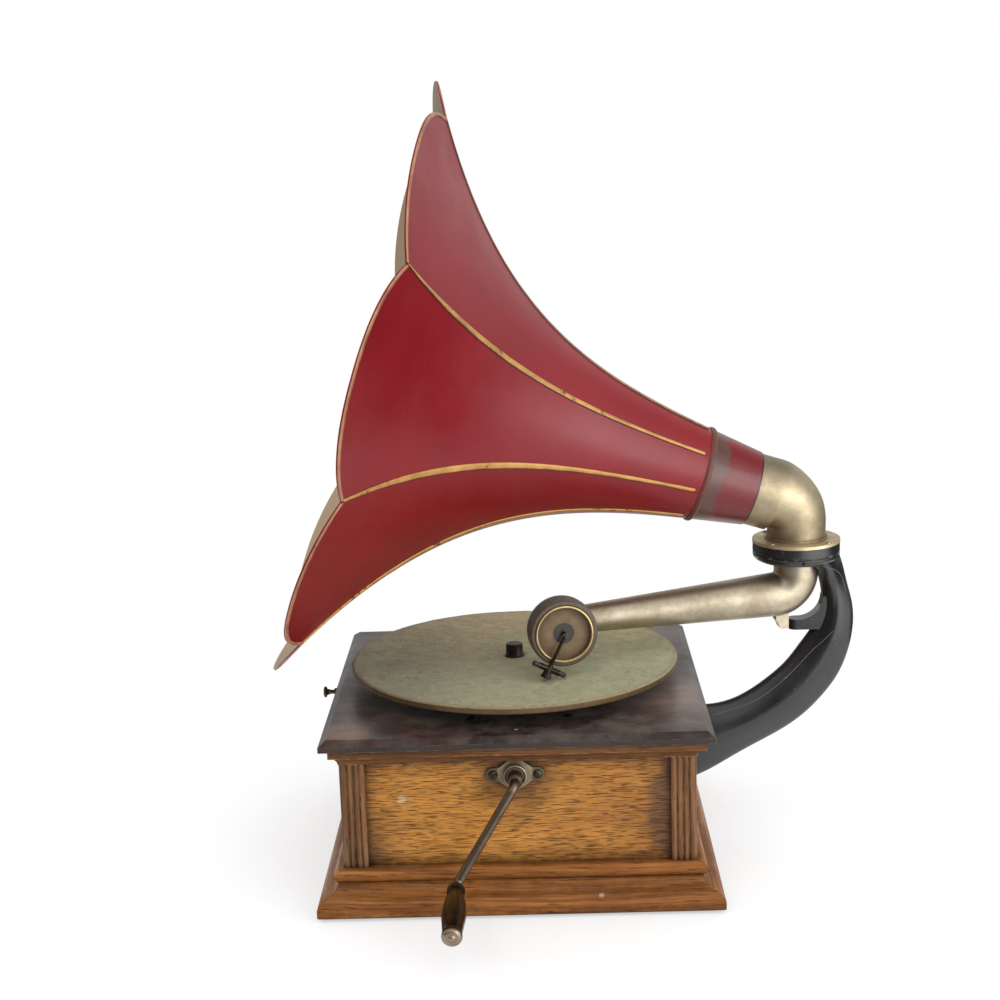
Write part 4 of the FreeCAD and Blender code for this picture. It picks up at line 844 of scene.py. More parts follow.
@dataclass(frozen=True)
class Gilding(Finish):
    """Ochre gold paint on a raised edge, chipped to what lies under it."""

    gold: Colour
    shadow: Colour
    under: Colour
    chipped: float = 0.45
    line: float = 0.2
    line_colour: Colour = shade(40, 16, 16)
    fades: bool = False
    fade_colour: Colour = shade(110, 16, 26)
    spot: Colour = shade(84, 50, 32)

    def paint(self, board: Board, shader: bpy.types.Node) -> None:
        """Lays out the gold, its dark side line and its chips.

        Args:
            board: The material's board.
            shader: Its surface shader.
        """
        cloud = board.mask(EFFECTS.mottle, scale=60.0, contrast=2.4)
        colour = board.mix(cloud, self.shadow, self.gold)
        chips = board.mask(EFFECTS.mottle, scale=150.0, contrast=5.0, shift=4.0)
        patch = board.mask(EFFECTS.mottle, scale=17.0, contrast=2.2, shift=8.0)
        gone = board.span(board.times(chips, patch), 1.0 - self.chipped, 1.12 - self.chipped)
        wavy = board.uneven(board.noted("across"), cloud, 0.12)
        gone = board.most(gone, board.span(wavy, self.line + 0.05, self.line - 0.05))
        colour = board.mix(gone, colour, self.under)
        if self.line:
            colour = board.mix(board.span(wavy, 0.12, 0.02), colour, self.line_colour)
        if self.fades:
            ending = board.span(board.noted("reach"), 0.022, 0.014)
            colour = board.mix(ending, colour, self.fade_colour)
        spots = board.mask(EFFECTS.specks, scale=840.0, share=0.3, size=0.26)
        colour = board.lay(spots, colour, self.spot, part=0.4)
        board.fill(shader, base_color=colour, metallic=board.span(gone, 0.0, 1.0, 0.35, 0.0),
                   roughness=board.span(cloud, 0.1, 0.9, 0.36, 0.55))
        board.bump(shader, board.less(cloud, gone), depth=0.00012)


@dataclass(frozen=True)
class Felt(Finish):
    """Worn green felt, faded to tan on one side and darkened on its left by painted shade, with
    pills and specks.
    """

    green: Colour
    tan: Colour
    centre: Place
    left_shade: Colour = shade(66, 66, 50)
    edge: Colour = shade(124, 100, 58)
    hair: Colour = shade(186, 182, 144)
    speck: Colour = shade(44, 40, 28)
    lint: Colour = shade(214, 212, 190)

    def paint(self, board: Board, shader: bpy.types.Node) -> None:
        """Lays out the fade, stains, painted shade on the left, pills and fibres.

        Args:
            board: The material's board.
            shader: Its surface shader.
        """
        away = board.vector("SUBTRACT", board.place(), self.centre)
        x, y, _ = board.parts(away)
        broad = board.mask(EFFECTS.mottle, scale=9.0, contrast=2.4)
        small = board.mask(EFFECTS.mottle, scale=85.0, contrast=3.0, shift=2.0)
        faded = board.span(board.uneven(y, broad, 0.16), -0.07, 0.13)
        colour = board.mix(faded, self.green, self.tan)
        colour = board.lay(small, colour, dim(self.green, 0.5), part=0.6)
        # Painted shade: darker towards the left, where the horn hangs over the felt.
        left = board.span(x, 0.0, -0.15, 0.0, 0.75)
        colour = board.mix(board.times(left, board.span(broad, 0.0, 0.8)), colour, self.left_shade)
        rim = board.span(board.vector("LENGTH", away), 0.146, 0.1515)
        colour = board.lay(rim, colour, self.edge, part=0.8)
        fibre = board.noise(board.place(), 1400.0, rough=0.7)
        colour = board.mix(board.span(fibre, 0.4, 0.7, 0.0, 0.5), colour, self.hair)
        dark = board.mask(EFFECTS.specks, scale=140.0, share=0.4, size=0.22)
        colour = board.lay(dark, colour, self.speck, part=0.7)
        white = board.mask(EFFECTS.specks, scale=104.0, share=0.22, size=0.1)
        colour = board.lay(white, colour, self.lint, part=0.85)
        board.fill(shader, base_color=colour, roughness=board.span(small, 0.0, 1.0, 0.86, 0.98),
                   specular_ior_level=0.15, sheen_weight=0.25, sheen_roughness=0.6)
        pills = board.mask(EFFECTS.specks, scale=240.0, share=0.45, size=0.4)
        lumps = board.plus(pills, board.times(small, 1.2))
        board.bump(shader, board.plus(board.times(fibre, 0.7), lumps), depth=0.0014)


@dataclass(frozen=True)
class Soft(Finish):
    """Rubber, leather or a waxed fibre disc, which may darken towards a ring."""

    coat: Colour
    other: Colour
    rough: float = 0.6
    grain: float = 500.0
    ring_centre: Optional[Place] = None
    ring: float = 0.02
    ring_colour: Colour = (0.1, 0.06, 0.03)

    def paint(self, board: Board, shader: bpy.types.Node) -> None:
        """Lays out the mottled colour, a darker outer ring and the grain.

        Args:
            board: The material's board.
            shader: Its surface shader.
        """
        cloud = board.mask(EFFECTS.mottle, scale=110.0, contrast=2.2)
        fine = board.mask(EFFECTS.mottle, scale=self.grain, contrast=2.4, shift=1.0)
        colour = board.mix(cloud, self.coat, self.other)
        colour = board.lay(fine, colour, dim(self.coat, 0.5), part=0.25)
        if self.ring_centre:
            edge = board.span(board.away(self.ring_centre), 0.6 * self.ring, self.ring)
            colour = board.lay(edge, colour, self.ring_colour, part=0.8)
        spots = board.mask(EFFECTS.specks, scale=760.0, share=0.12, size=0.2)
        colour = board.lay(spots, colour, dim(self.coat, 0.3), part=0.5)
        dull = board.span(cloud, 0.0, 1.0, self.rough - 0.1, self.rough + 0.1)
        board.fill(shader, base_color=colour, roughness=dull)
        board.bump(shader, fine, depth=0.00006)


# Bench tools for pieces

@dataclass
class Workshop:
    """Makes pieces, dresses them and hangs them on the model's bodies."""

    weld: float = 2e-6
    flat: float = 0.4
    mitre_inset: float = 0.01 * MM
    bevel_steps: int = 2
    screw_sides: int = 28
    screw_weld: float = 1e-6
    head_edge: float = 0.12
    head_steps: tuple[int, ...] = (18, 36, 54, 70, 82)
    slot_half: float = 0.16
    slot_floor: float = 0.35
    crown_from: float = 0.2
    crown_slope: float = 0.1
    first_turn: float = 0.5
    next_turn: float = 1.1

    def __post_init__(self) -> None:
        """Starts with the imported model's nodes."""
        self.nodes: dict[str, bpy.types.Object] = frame["nodes"]
        self.slots = {name: one.data.materials[0].name for name, one in self.nodes.items()}

    def dress(self, finish: Finish, *names: str) -> None:
        """Gives nodes of the model a finish.

        Args:
            finish: The finish.
            names: The nodes.
        """
        for name in names:
            mesh = self.nodes[name].data
            mesh.materials.clear()
            mesh.materials.append(finish.material())
            LOG.info("dressed %s in %s", name, finish.name)

    def add(self, name: str, mesh: bpy.types.Mesh, finishes: Sequence[Finish],
            node: str) -> bpy.types.Object:
        """Makes a piece that rides on a node's body.

        Args:
            name: The piece's name.
            mesh: Its mesh, in place.
            finishes: Its finishes, in the order of its faces' material numbers.
            node: The node.

        Returns:
            The piece.
        """
        piece = bpy.data.objects.new(name, mesh)
        bpy.context.scene.collection.objects.link(piece)
        mesh.materials.clear()
        for finish in finishes:
            mesh.materials.append(finish.material())
        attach(piece, self.nodes[node]["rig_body"])
        LOG.info("made %s at %s", name, node)
        return piece

    def hang(self, name: str, mesh: bpy.types.Mesh, finishes: Sequence[Finish],
             node: str) -> bpy.types.Object:
        """Makes a piece that stands for a node and rides on its body.

        Args:
            name: The piece's name.
            mesh: Its mesh, in place.
            finishes: Its finishes, in the order of its faces' material numbers.
            node: The node that it stands for.

        Returns:
            The piece.
        """
        piece = self.add(name, mesh, finishes, node)
        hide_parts(node)
        return piece

    def eased(self, finish: Finish, *names: str, width: float, angle: float = 32.0,
              mitred: bool = False) -> None:
        """Gives nodes eased edges: pieces from their faces with sharp edges rounded over.

        Args:
            finish: The pieces' finish.
            names: The nodes.
            width: How wide an edge is rounded, in metres.
            angle: Edges sharper than this are rounded, in degrees.
            mitred: Whether the node is four mitred lengths round the case, which stay apart.
        """
        sharp = math.radians(angle)
        for name in names:
            mesh = self.cleaned(name, sharp, mitred)
            piece = self.hang(name + "_eased", mesh, [finish], name)
            rounding = piece.modifiers.new("rounding", "BEVEL")
            rounding.width = width
            rounding.segments = self.bevel_steps
            rounding.limit_method = "ANGLE"
            rounding.angle_limit = sharp
            rounding.harden_normals = True
            rounding.use_clamp_overlap = True

    def cleaned(self, name: str, sharp: float, mitred: bool) -> bpy.types.Mesh:
        """Copies a node's mesh, welded, without needless edges and with its sharp edges marked.

        Args:
            name: The node.
            sharp: Edges with a larger turn than this are sharp, in radians.
            mitred: Whether the node is four mitred lengths, which stay apart.

        Returns:
            The copy.
        """
        mesh = self.nodes[name].data.copy()
        mesh.name = name + "_eased"
        for extra in ("custom_normal", "sharp_face", "sharp_edge"):
            if extra in mesh.attributes:
                mesh.attributes.remove(mesh.attributes[extra])
        shape = bmesh.new()
        shape.from_mesh(mesh)
        for faces in self.lengths(shape) if mitred else [shape.faces[:]]:
            apart = bmesh.ops.split(shape, geom=faces)["geom"]
            corners = [one for one in apart if isinstance(one, bmesh.types.BMVert)]
            bmesh.ops.remove_doubles(shape, verts=corners, dist=self.weld)
        bmesh.ops.dissolve_limit(shape, angle_limit=math.radians(self.flat), verts=shape.verts,
                                 edges=shape.edges)
        for face in shape.faces:
            face.smooth = True
        for edge in shape.edges:
            turn = edge.calc_face_angle(math.pi) if len(edge.link_faces) == 2 else math.pi
            edge.smooth = turn < sharp
        shape.to_mesh(mesh)
        shape.free()
        return mesh

    def lengths(self, shape: bmesh.types.BMesh) -> list[list[bmesh.types.BMFace]]:
        """Sorts faces by the side of the case that they are on.

        A mitre's two faces go each to its own length.

        Args:
            shape: The shape of four mitred lengths.

        Returns:
            The faces of each length.
        """
        sides: dict[tuple[bool, bool], list[bmesh.types.BMFace]] = {}
        for face in shape.faces:
            x, y, _ = face.calc_center_median() - self.mitre_inset * face.normal
            across = abs(x) > abs(y)
            sides.setdefault((across, (x if across else y) > 0), []).append(face)
        return [sides[key] for key in sorted(sides)]

    def screws(self, name: str, node: str, finish: Finish, shank: float, head: float,
               dome: float) -> None:
        """Makes slotted round-head screws in the place of a node's plain ones.

        Args:
            name: The piece's name.
            node: The node, whose solids are the screws.
            finish: Their finish.
            shank: Radius of the shank, in metres.
            head: Radius of the head, in metres.
            dome: Height of the head, in metres.
        """
        shape = bmesh.new()
        for number, (low, high) in enumerate(self.solids(node)):
            size = high - low
            way = max(range(3), key=lambda k: size[k])
            middle = (low + high) / 2
            out = Vector((0.0, 0.0, 0.0))
            out[way] = 1.0 if way == 2 or middle[way] > 0 else -1.0
            seat = middle + out * size[way] / 2 - out * dome
            turn = out.to_track_quat("Z", "X").to_matrix().to_4x4()
            spin = Matrix.Rotation(self.first_turn + self.next_turn * number, 4, "Z")
            slotted = self.slotted_screw(shank, head, dome, size[way] - dome)
            slotted.transform(Matrix.Translation(seat) @ turn @ spin)
            mesh = bpy.data.meshes.new("one_screw")
            slotted.to_mesh(mesh)
            slotted.free()
            shape.from_mesh(mesh)
            bpy.data.meshes.remove(mesh)
        whole = bpy.data.meshes.new(name)
        shape.to_mesh(whole)
        shape.free()
        self.hang(name, whole, [finish], node)

    def solids(self, node: str) -> list[tuple[Vector, Vector]]:
        """Finds the lowest and highest corners of each separate solid of a node.

        Args:
            node: The node.

        Returns:
            A pair of corners for each solid, in a steady order.
        """
        shape = bmesh.new()
        shape.from_mesh(self.nodes[node].data)
        bmesh.ops.remove_doubles(shape, verts=shape.verts, dist=self.weld)
        left = set(shape.verts)
        found = []
        while left:
            group, edge = set(), [min(left, key=lambda v: v.index)]
            while edge:
                here = edge.pop()
                if here in group:
                    continue
                group.add(here)
                edge.extend(e.other_vert(here) for e in here.link_edges)
            left -= group
            low, high = (Vector([end(v.co[k] for v in group) for k in range(3)])
                         for end in (min, max))
            found.append((low, high))
        shape.free()
        return sorted(found, key=lambda pair: tuple(round(v, 5) for v in pair[0]))

    def slotted_screw(self, shank: float, head: float, dome: float,
                      length: float) -> bmesh.types.BMesh:
        """Makes a round-head screw along +Z, its seat at the origin, with a slot across its head.

        Args:
            shank: Radius of the shank.
            head: Radius of the head.
            dome: Height of the head.
            length: Length of the shank.

        Returns:
            The screw's shape, with its faces in a steady order.
        """
        rings = [(shank, -length), (shank, 0.0), (head, 0.0), (head, self.head_edge * dome)]
        for step in map(math.radians, self.head_steps):
            rise = self.head_edge + (1 - self.head_edge) * math.sin(step)
            rings.append((head * math.cos(step), dome * rise))
        shape = lathe(rings, self.screw_sides)
        half = self.slot_half * head
        for x in (-half, half):
            bmesh.ops.bisect_plane(shape, geom=shape.verts[:] + shape.edges[:] + shape.faces[:],
                                   plane_co=(x, 0, 0), plane_no=(1, 0, 0))
        strip = []
        for face in shape.faces:
            x, _, z = face.calc_center_median()
            on_crown = z > self.crown_from * dome and face.normal.z > self.crown_slope
            if on_crown and abs(x) < half:
                strip.append(face)
        lifted = bmesh.ops.extrude_face_region(shape, geom=strip)["geom"]
        bmesh.ops.delete(shape, geom=strip, context="FACES")
        for one in lifted:
            if isinstance(one, bmesh.types.BMVert):
                one.co.z = min(one.co.z, self.slot_floor * dome)
        bmesh.ops.remove_doubles(shape, verts=shape.verts, dist=self.screw_weld)
        bmesh.ops.dissolve_degenerate(shape, dist=self.screw_weld, edges=shape.edges)
        bmesh.ops.recalc_face_normals(shape, faces=shape.faces)
        steady = sorted(shape.faces, key=lambda face: tuple(face.calc_center_median()))
        rank = {face: number for number, face in enumerate(steady)}
        shape.faces.sort(key=rank.get)
        return shape


def ripple(x: float, y: float, scale: float, layer: float) -> float:
    """Smooth uneven value of -1 to 1 at a place, another one on each layer."""
    return noise.noise((x * scale, y * scale, layer))


def lathe(rings: Sequence[tuple[float, float]], count: int) -> bmesh.types.BMesh:
    """Shape turned about Z from its rings, with a cap at both ends.

    Args:
        rings: Radius and height of each ring.
        count: Sides of each ring.

    Returns:
        The shape.
    """
    shape = bmesh.new()
    turns = [FULL_TURN * k / count for k in range(count)]
    loops = [[shape.verts.new((radius * math.cos(a), radius * math.sin(a), height)) for a in turns]
             for radius, height in rings]
    for lower, upper in zip(loops, loops[1:]):
        for k in range(count):
            after = (k + 1) % count
            shape.faces.new((lower[k], lower[after], upper[after], upper[k]))
    shape.faces.new(list(reversed(loops[0])))
    shape.faces.new(loops[-1])
    shape.normal_update()
    return shape


def tube_faces(base: int, rows: int, around: int, closed: bool = False,
               inward: bool = False) -> list[tuple[int, ...]]:
    """Faces of a tube whose points lie row by row.

    Args:
        base: The number of its first point.
        rows: How many rows it has.
        around: How many points a row has.
        closed: Whether the last row joins the first.
        inward: Whether the faces look the other way.

    Returns:
        The points of each face.
    """
    faces = []
    for row in range(rows if closed else rows - 1):
        here, there = base + row * around, base + (row + 1) % rows * around
        for i in range(around):
            after = (i + 1) % around
            ring = (here + i, here + after, there + after, there + i)
            faces.append((ring[0], ring[3], ring[2], ring[1]) if inward else ring)
    return faces


def mesh_of(name: str, spots: Sequence[Sequence[float]], faces: Sequence[Sequence[int]],
            smooth: bool = True) -> bpy.types.Mesh:
    """Mesh from points and faces.

    Args:
        name: The mesh's name.
        spots: Its points.
        faces: The points of each face.
        smooth: Whether its faces are shaded smooth.

    Returns:
        The mesh.
    """
    mesh = bpy.data.meshes.new(name)
    mesh.from_pydata([tuple(s) for s in spots], [], [tuple(f) for f in faces])
    mesh.polygons.foreach_set("use_smooth", [smooth] * len(mesh.polygons))
    mesh.update()
    return mesh


def hoops(name: str, section: Sequence[tuple[float, float]], middles: Sequence[Vector],
          out: Vector, count: int = 72) -> bpy.types.Mesh:
    """Mesh of rings that are turned round one level direction.

    Args:
        name: The mesh's name.
        section: The closed outline of a ring's section, as radius and place along the direction.
        middles: The rings' middles.
        out: The direction.
        count: Sections round a ring.

    Returns:
        The mesh.
    """
    spots, faces = [], []
    for middle in middles:
        faces += tube_faces(len(spots), count, len(section), closed=True)
        for a in (FULL_TURN * k / count for k in range(count)):
            spoke = UP * math.cos(a) + out.cross(UP) * math.sin(a)
            spots += [middle + spoke * radius + out * run for radius, run in section]
    return mesh_of(name, spots, faces)


def note(mesh: bpy.types.Mesh, name: str, values: Sequence[float]) -> None:
    """Keeps a value at each point of a mesh for its finish."""
    mesh.attributes.new(name, "FLOAT", "POINT").data.foreach_set("value", list(values))


# Sub-assemblies

@dataclass
class Case:
    """Oak case with its mouldings and walnut top."""

    edge: float = 0.0009
    post_edge: float = 0.0005
    top_edge: float = 0.0012
    front_y: float = -0.147
    top_z: float = 0.162
    oak_pore: Colour = shade(62, 36, 14)
    oak_worn: Colour = shade(200, 152, 84)
    oak_stain: Colour = shade(98, 58, 24)

    def build(self, shop: Workshop) -> None:
        """Makes the boards, mouldings and corner pieces.

        Args:
            shop: The workshop.
        """
        oak = dict(pore=self.oak_pore, worn=self.oak_worn, stain=self.oak_stain)
        y, z = self.front_y, self.top_z
        front = Wood(
            "golden oak panel", Grain.ACROSS, shade(122, 76, 34), shade(172, 116, 56), pores=0.88,
            stained=0.35, shaded=0.75, **oak,
            patches=(Patch(shade(208, 144, 62), (-0.03, y, 0.07), size=0.115, soft=0.7),
                     Patch(shade(84, 56, 32), (-0.0021, y, 0.121), size=0.03, soft=0.8),
                     Patch(shade(104, 76, 54), (0.185, y, 0.085), size=0.072, soft=0.1),
                     Patch(shade(92, 64, 40), (-0.15, y, 0.04), size=0.04, soft=0.5),
                     Patch(shade(218, 188, 146), (-0.102, y, 0.0998), size=0.0036, soft=0.6)))
        sides = Wood("oak side panel", Grain.DEEP, shade(126, 86, 46), shade(170, 128, 76),
                     pores=0.8, stained=0.45, shaded=0.6, **oak)
        far = Wood("oak far panel", Grain.ACROSS, shade(120, 74, 32), shade(166, 114, 52),
                   pores=0.8, stained=0.45, shaded=0.6, **oak)
        posts = Wood("reeded oak corner", Grain.UPRIGHT, shade(54, 38, 27), shade(138, 98, 62),
                     pores=0.5, wear=0.6, wear_width=0.0012, stained=0.45, dirt_and_shade=1.0,
                     dirt_and_shade_reach=0.008, shaded=0.7, **oak)
        base = Wood("oak base moulding", Grain.ROUND_CASE, shade(84, 48, 20), shade(174, 110, 50),
                    pores=0.5, shine=0.16, wear=0.5, wear_width=0.0016, streaks=0.8, stained=0.55,
                    stain_scale=15.0, dirt_and_shade=1.0, dirt_and_shade_reach=0.016, shaded=0.45, **oak,
                    patches=(Patch(shade(224, 202, 166), (0.0699, -0.172, 0.0166), size=0.0026,
                                   soft=0.3),))
        crown = Wood("oak cornice", Grain.ROUND_CASE, shade(74, 44, 20), shade(138, 92, 48),
                     pores=0.55, wear=0.5, streaks=0.8, stained=0.45, dirt_and_shade=0.95, shaded=0.4, **oak)
        # Walnut top: its upright faces, such as the front bevel, are darkened as painted shade.
        top = Wood(
            "walnut top", Grain.ACROSS, shade(34, 25, 22), shade(54, 41, 35), shade(22, 16, 14),
            shade(150, 124, 106), shade(80, 63, 55), stained=0.55, stain_scale=14.0, pores=0.3,
            wear=0.55, wear_width=0.0008, rough=0.34, shine=0.5, gloss=0.05, dusty=0.36,
            streaks=1.3, side_shade=0.55,
            patches=(Patch(shade(128, 106, 92), (0.16, -0.07, z), size=0.05, soft=0.7),
                     Patch(shade(124, 100, 82), (-0.15, -0.145, z), size=0.022, soft=0.6),
                     Patch(shade(44, 34, 30), (0.107, -0.146, z), size=0.017, soft=0.2),
                     Patch(shade(54, 34, 20), (-0.07, -0.155, z), size=0.035, soft=0.6),
                     Patch(shade(230, 224, 214), (0.0, -0.1484, z), size=0.0016, soft=0.3)))
        board = Wood("dark bottom board", Grain.ACROSS, shade(30, 22, 18), shade(54, 38, 28),
                     shade(14, 10, 8), shade(90, 66, 44), shade(24, 18, 14), stained=0.4,
                     pores=0.4, rough=0.6, gloss=0.0)
        shop.eased(front, "panel_crank_side", width=self.edge)
        shop.eased(sides, "panel_knob_side", "panel_bracket_side", width=self.edge)
        shop.eased(far, "panel_far_side", width=self.edge)
        shop.eased(posts, "corner_pilasters", width=self.post_edge)
        shop.eased(base, "base_mouldings", width=self.edge, mitred=True)
        shop.eased(crown, "cornice_mouldings", width=self.edge, mitred=True)
        shop.eased(top, "top_board", width=self.top_edge)
        shop.eased(board, "bottom_board", width=self.edge)


@dataclass
class Turntable:
    """Turntable with its felt and spindle cap."""

    plate_edge: float = 0.0005
    cap_edge: float = 0.0004
    radius: float = 0.152
    hole: float = 0.0094
    lip: float = 0.0105
    margin: float = 0.013
    rim_steps: tuple[float, ...] = (0.0012, 0.0004, 0.0)
    rows: int = 52
    sides: int = 288
    thick: float = 0.002
    centre: tuple[float, float] = (-0.0016, -0.0041)
    edge_drop: float = 0.0004
    rim_drop: float = 0.0011
    ragged: float = 0.0004
    ragged_scale: float = 6.0
    fine_pill: float = 0.00022
    fine_scale: float = 260.0
    broad_pill: float = 0.00028
    broad_scale: float = 55.0
    most_pill: float = 0.0003

    def build(self, shop: Workshop) -> None:
        """Makes the plate, the felt and the cap.

        Args:
            shop: The workshop.
        """
        iron = Metal("painted platter iron", shade(104, 80, 48), shade(58, 42, 26), tarnished=0.85,
                     scale=40.0, rough=0.5, spots=0.3, wear=0.45, worn=shade(176, 146, 92),
                     metallic=0.3)
        cap = Metal("blackened spindle cap", shade(58, 50, 46), shade(24, 20, 18), tarnished=0.8,
                    rough=0.34, wear=0.45, worn=shade(140, 128, 112), metallic=0.8)
        shop.eased(iron, "turntable_plate", width=self.plate_edge)
        shop.eased(cap, "spindle_cap", width=self.cap_edge)
        self.lay_felt(shop)

    def pill(self, x: float, y: float) -> float:
        """Height of the felt's pills at a place on its face.

        Args:
            x: The place's x from the middle, in metres.
            y: Its y.

        Returns:
            The height, in metres.
        """
        fine = ripple(x, y, self.fine_scale, layer=1.0) * self.fine_pill
        broad = ripple(x, y, self.broad_scale, layer=5.0) * self.broad_pill
        return min(fine + broad, self.most_pill)

    def lay_felt(self, shop: Workshop) -> None:
        """Makes the felt: a round sheet with a soft edge and a pilled face.

        Args:
            shop: The workshop.
        """
        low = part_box("turntable_felt")[0].z
        face = low + self.thick - self.most_pill
        even = [self.lip + (self.radius - self.margin) * k / self.rows
                for k in range(1, self.rows + 1)]
        rings = [self.hole, self.lip] + even + [self.radius - step for step in self.rim_steps]
        last = len(rings) - 1
        drops = {0: self.edge_drop, last - 1: self.edge_drop, last: self.rim_drop}
        turns = [FULL_TURN * k / self.sides for k in range(self.sides)]
        spots = []
        for number, radius in enumerate(rings):
            for a in turns:
                c, s = math.cos(a), math.sin(a)
                fray = 0.0
                if number >= last - 1:
                    fray = abs(self.ragged * ripple(c, s, self.ragged_scale, layer=3.0))
                x, y = (radius - fray) * c, (radius - fray) * s
                height = face + self.pill(x, y) - drops.get(number, 0.0)
                spots.append((self.centre[0] + x, self.centre[1] + y, height))
        for radius in (self.radius, self.hole):
            spots += [(self.centre[0] + radius * math.cos(a), self.centre[1] + radius * math.sin(a),
                       low) for a in turns]
        faces = tube_faces(0, len(rings) + 2, self.sides, closed=True, inward=True)
        cloth = Felt("faded green felt", shade(158, 160, 112), shade(188, 160, 114),
                     (*self.centre, low))
        mesh = mesh_of("felt_disc", spots, faces)
        piece = shop.hang("felt_disc", mesh, [cloth], "turntable_felt")


@dataclass
class Motor:
    """Spring motor inside the case, with its brake."""

    knob_edge: float = 0.0004
    steel: Colour = shade(176, 176, 172)
    brass: Colour = shade(204, 164, 84)

    def build(self, shop: Workshop) -> None:
        """Dresses the motor's pieces and makes the brake's knob.

        Args:
            shop: The workshop.
        """
        bright = Metal("bright steel", self.steel, shade(112, 104, 94), tarnished=0.5, rough=0.24,
                       wear=0.3)
        brass = Metal("gear brass", self.brass, shade(136, 98, 44), tarnished=0.6, rough=0.3,
                      wear=0.4)
        plates = Metal("nickelled motor plate", shade(160, 156, 148), shade(104, 96, 84),
                       tarnished=0.6, rough=0.36)
        iron = Paint("black barrel iron", shade(40, 40, 42), shade(82, 80, 78),
                     shade(120, 110, 98), rough=0.42)
        spring = Metal("blue spring steel", shade(92, 98, 112), shade(54, 52, 56), tarnished=0.6,
                       rough=0.3)
        dark = Metal("dark screw steel", shade(84, 76, 68), shade(44, 36, 30), tarnished=0.7,
                     rough=0.36, wear=0.5, worn=shade(170, 160, 142))
        rubber = Soft("black rubber", shade(34, 33, 32), shade(58, 55, 52))
        leather = Soft("brake leather", shade(96, 62, 36), shade(132, 92, 56), grain=900.0)
        knob = Metal("aged knob brass", shade(120, 108, 88), shade(52, 44, 36), tarnished=0.75,
                     rough=0.32, wear=0.5, worn=shade(206, 194, 160))
        shop.dress(bright, "spindle", "winding_shaft", "first_arbor", "barrel_arbor",
                   "governor_shaft", "motor_pillars", "brake_arm")
        shop.dress(brass, "spindle_wheel", "first_wheel", "winding_wheel", "governor_disc",
                   "governor_weights")
        shop.dress(plates, "motor_top_plate", "motor_bottom_plate")
        shop.dress(iron, "spring_barrel", "barrel_cover")
        shop.dress(spring, "mainspring", "governor_springs")
        shop.dress(dark, "hanger_bolts")
        shop.dress(rubber, "hanger_bushes")
        shop.dress(leather, "brake_pad")
        shop.eased(knob, "brake_knob", "brake_bush", width=self.knob_edge)


@dataclass
class Crank:
    """Winding crank with its bearing plate, turned grip and the case's screws."""

    plate_edge: float = 0.0008
    rod_edge: float = 0.0005
    cap_edge: float = 0.0003
    boss: Place = (-0.0021, -0.15, 0.122)
    boss_r: float = 0.0135
    shank: float = 0.0019
    head: float = 0.0042
    dome: float = 0.0026

    def build(self, shop: Workshop) -> None:
        """Makes the plate, rod, grip, cap and screws.

        Args:
            shop: The workshop.
        """
        plate = Metal("worn nickel plate", shade(186, 174, 146), shade(104, 88, 64),
                      tarnished=0.85, scale=70.0, rough=0.34, spots=0.3, wear=0.55,
                      worn=shade(232, 222, 196), dirt_and_shade=0.9, spot_colour=shade(58, 44, 32),
                      black_middle=self.boss, black_from=self.boss_r)
        rod = Metal("browned crank rod", shade(130, 114, 98), shade(66, 52, 44), tarnished=0.9,
                    scale=24.0, rough=0.36, spots=0.3, wear=0.4, worn=shade(214, 204, 182))
        grip = Wood("dark turned grip", Grain.DEEP, shade(8, 6, 5), shade(16, 10, 8),
                    shade(6, 4, 4), shade(54, 36, 24), shade(20, 12, 9), stained=0.4, pores=0.2,
                    wear=0.2, wear_width=0.001, rough=0.26, shine=0.3, gloss=0.05, dirt_and_shade=0.3,
                    dusty=0.0)
        cap = Metal("handle cap nickel", shade(166, 150, 130), shade(98, 82, 64), tarnished=0.7,
                    scale=90.0, rough=0.3, spots=0.3, wear=0.5, worn=shade(228, 218, 200))
        screw = Metal("screw steel", shade(92, 80, 66), shade(44, 34, 26), tarnished=0.75,
                      rough=0.36, wear=0.5, worn=shade(176, 160, 132))
        shop.eased(plate, "crank_escutcheon", width=self.plate_edge)
        shop.eased(rod, "crank_arm", width=self.rod_edge)
        shop.eased(grip, "crank_handle", width=self.rod_edge)
        shop.eased(cap, "handle_cap", width=self.cap_edge)
        shop.screws("case_screws", "wood_screws", screw, self.shank, self.head, self.dome)


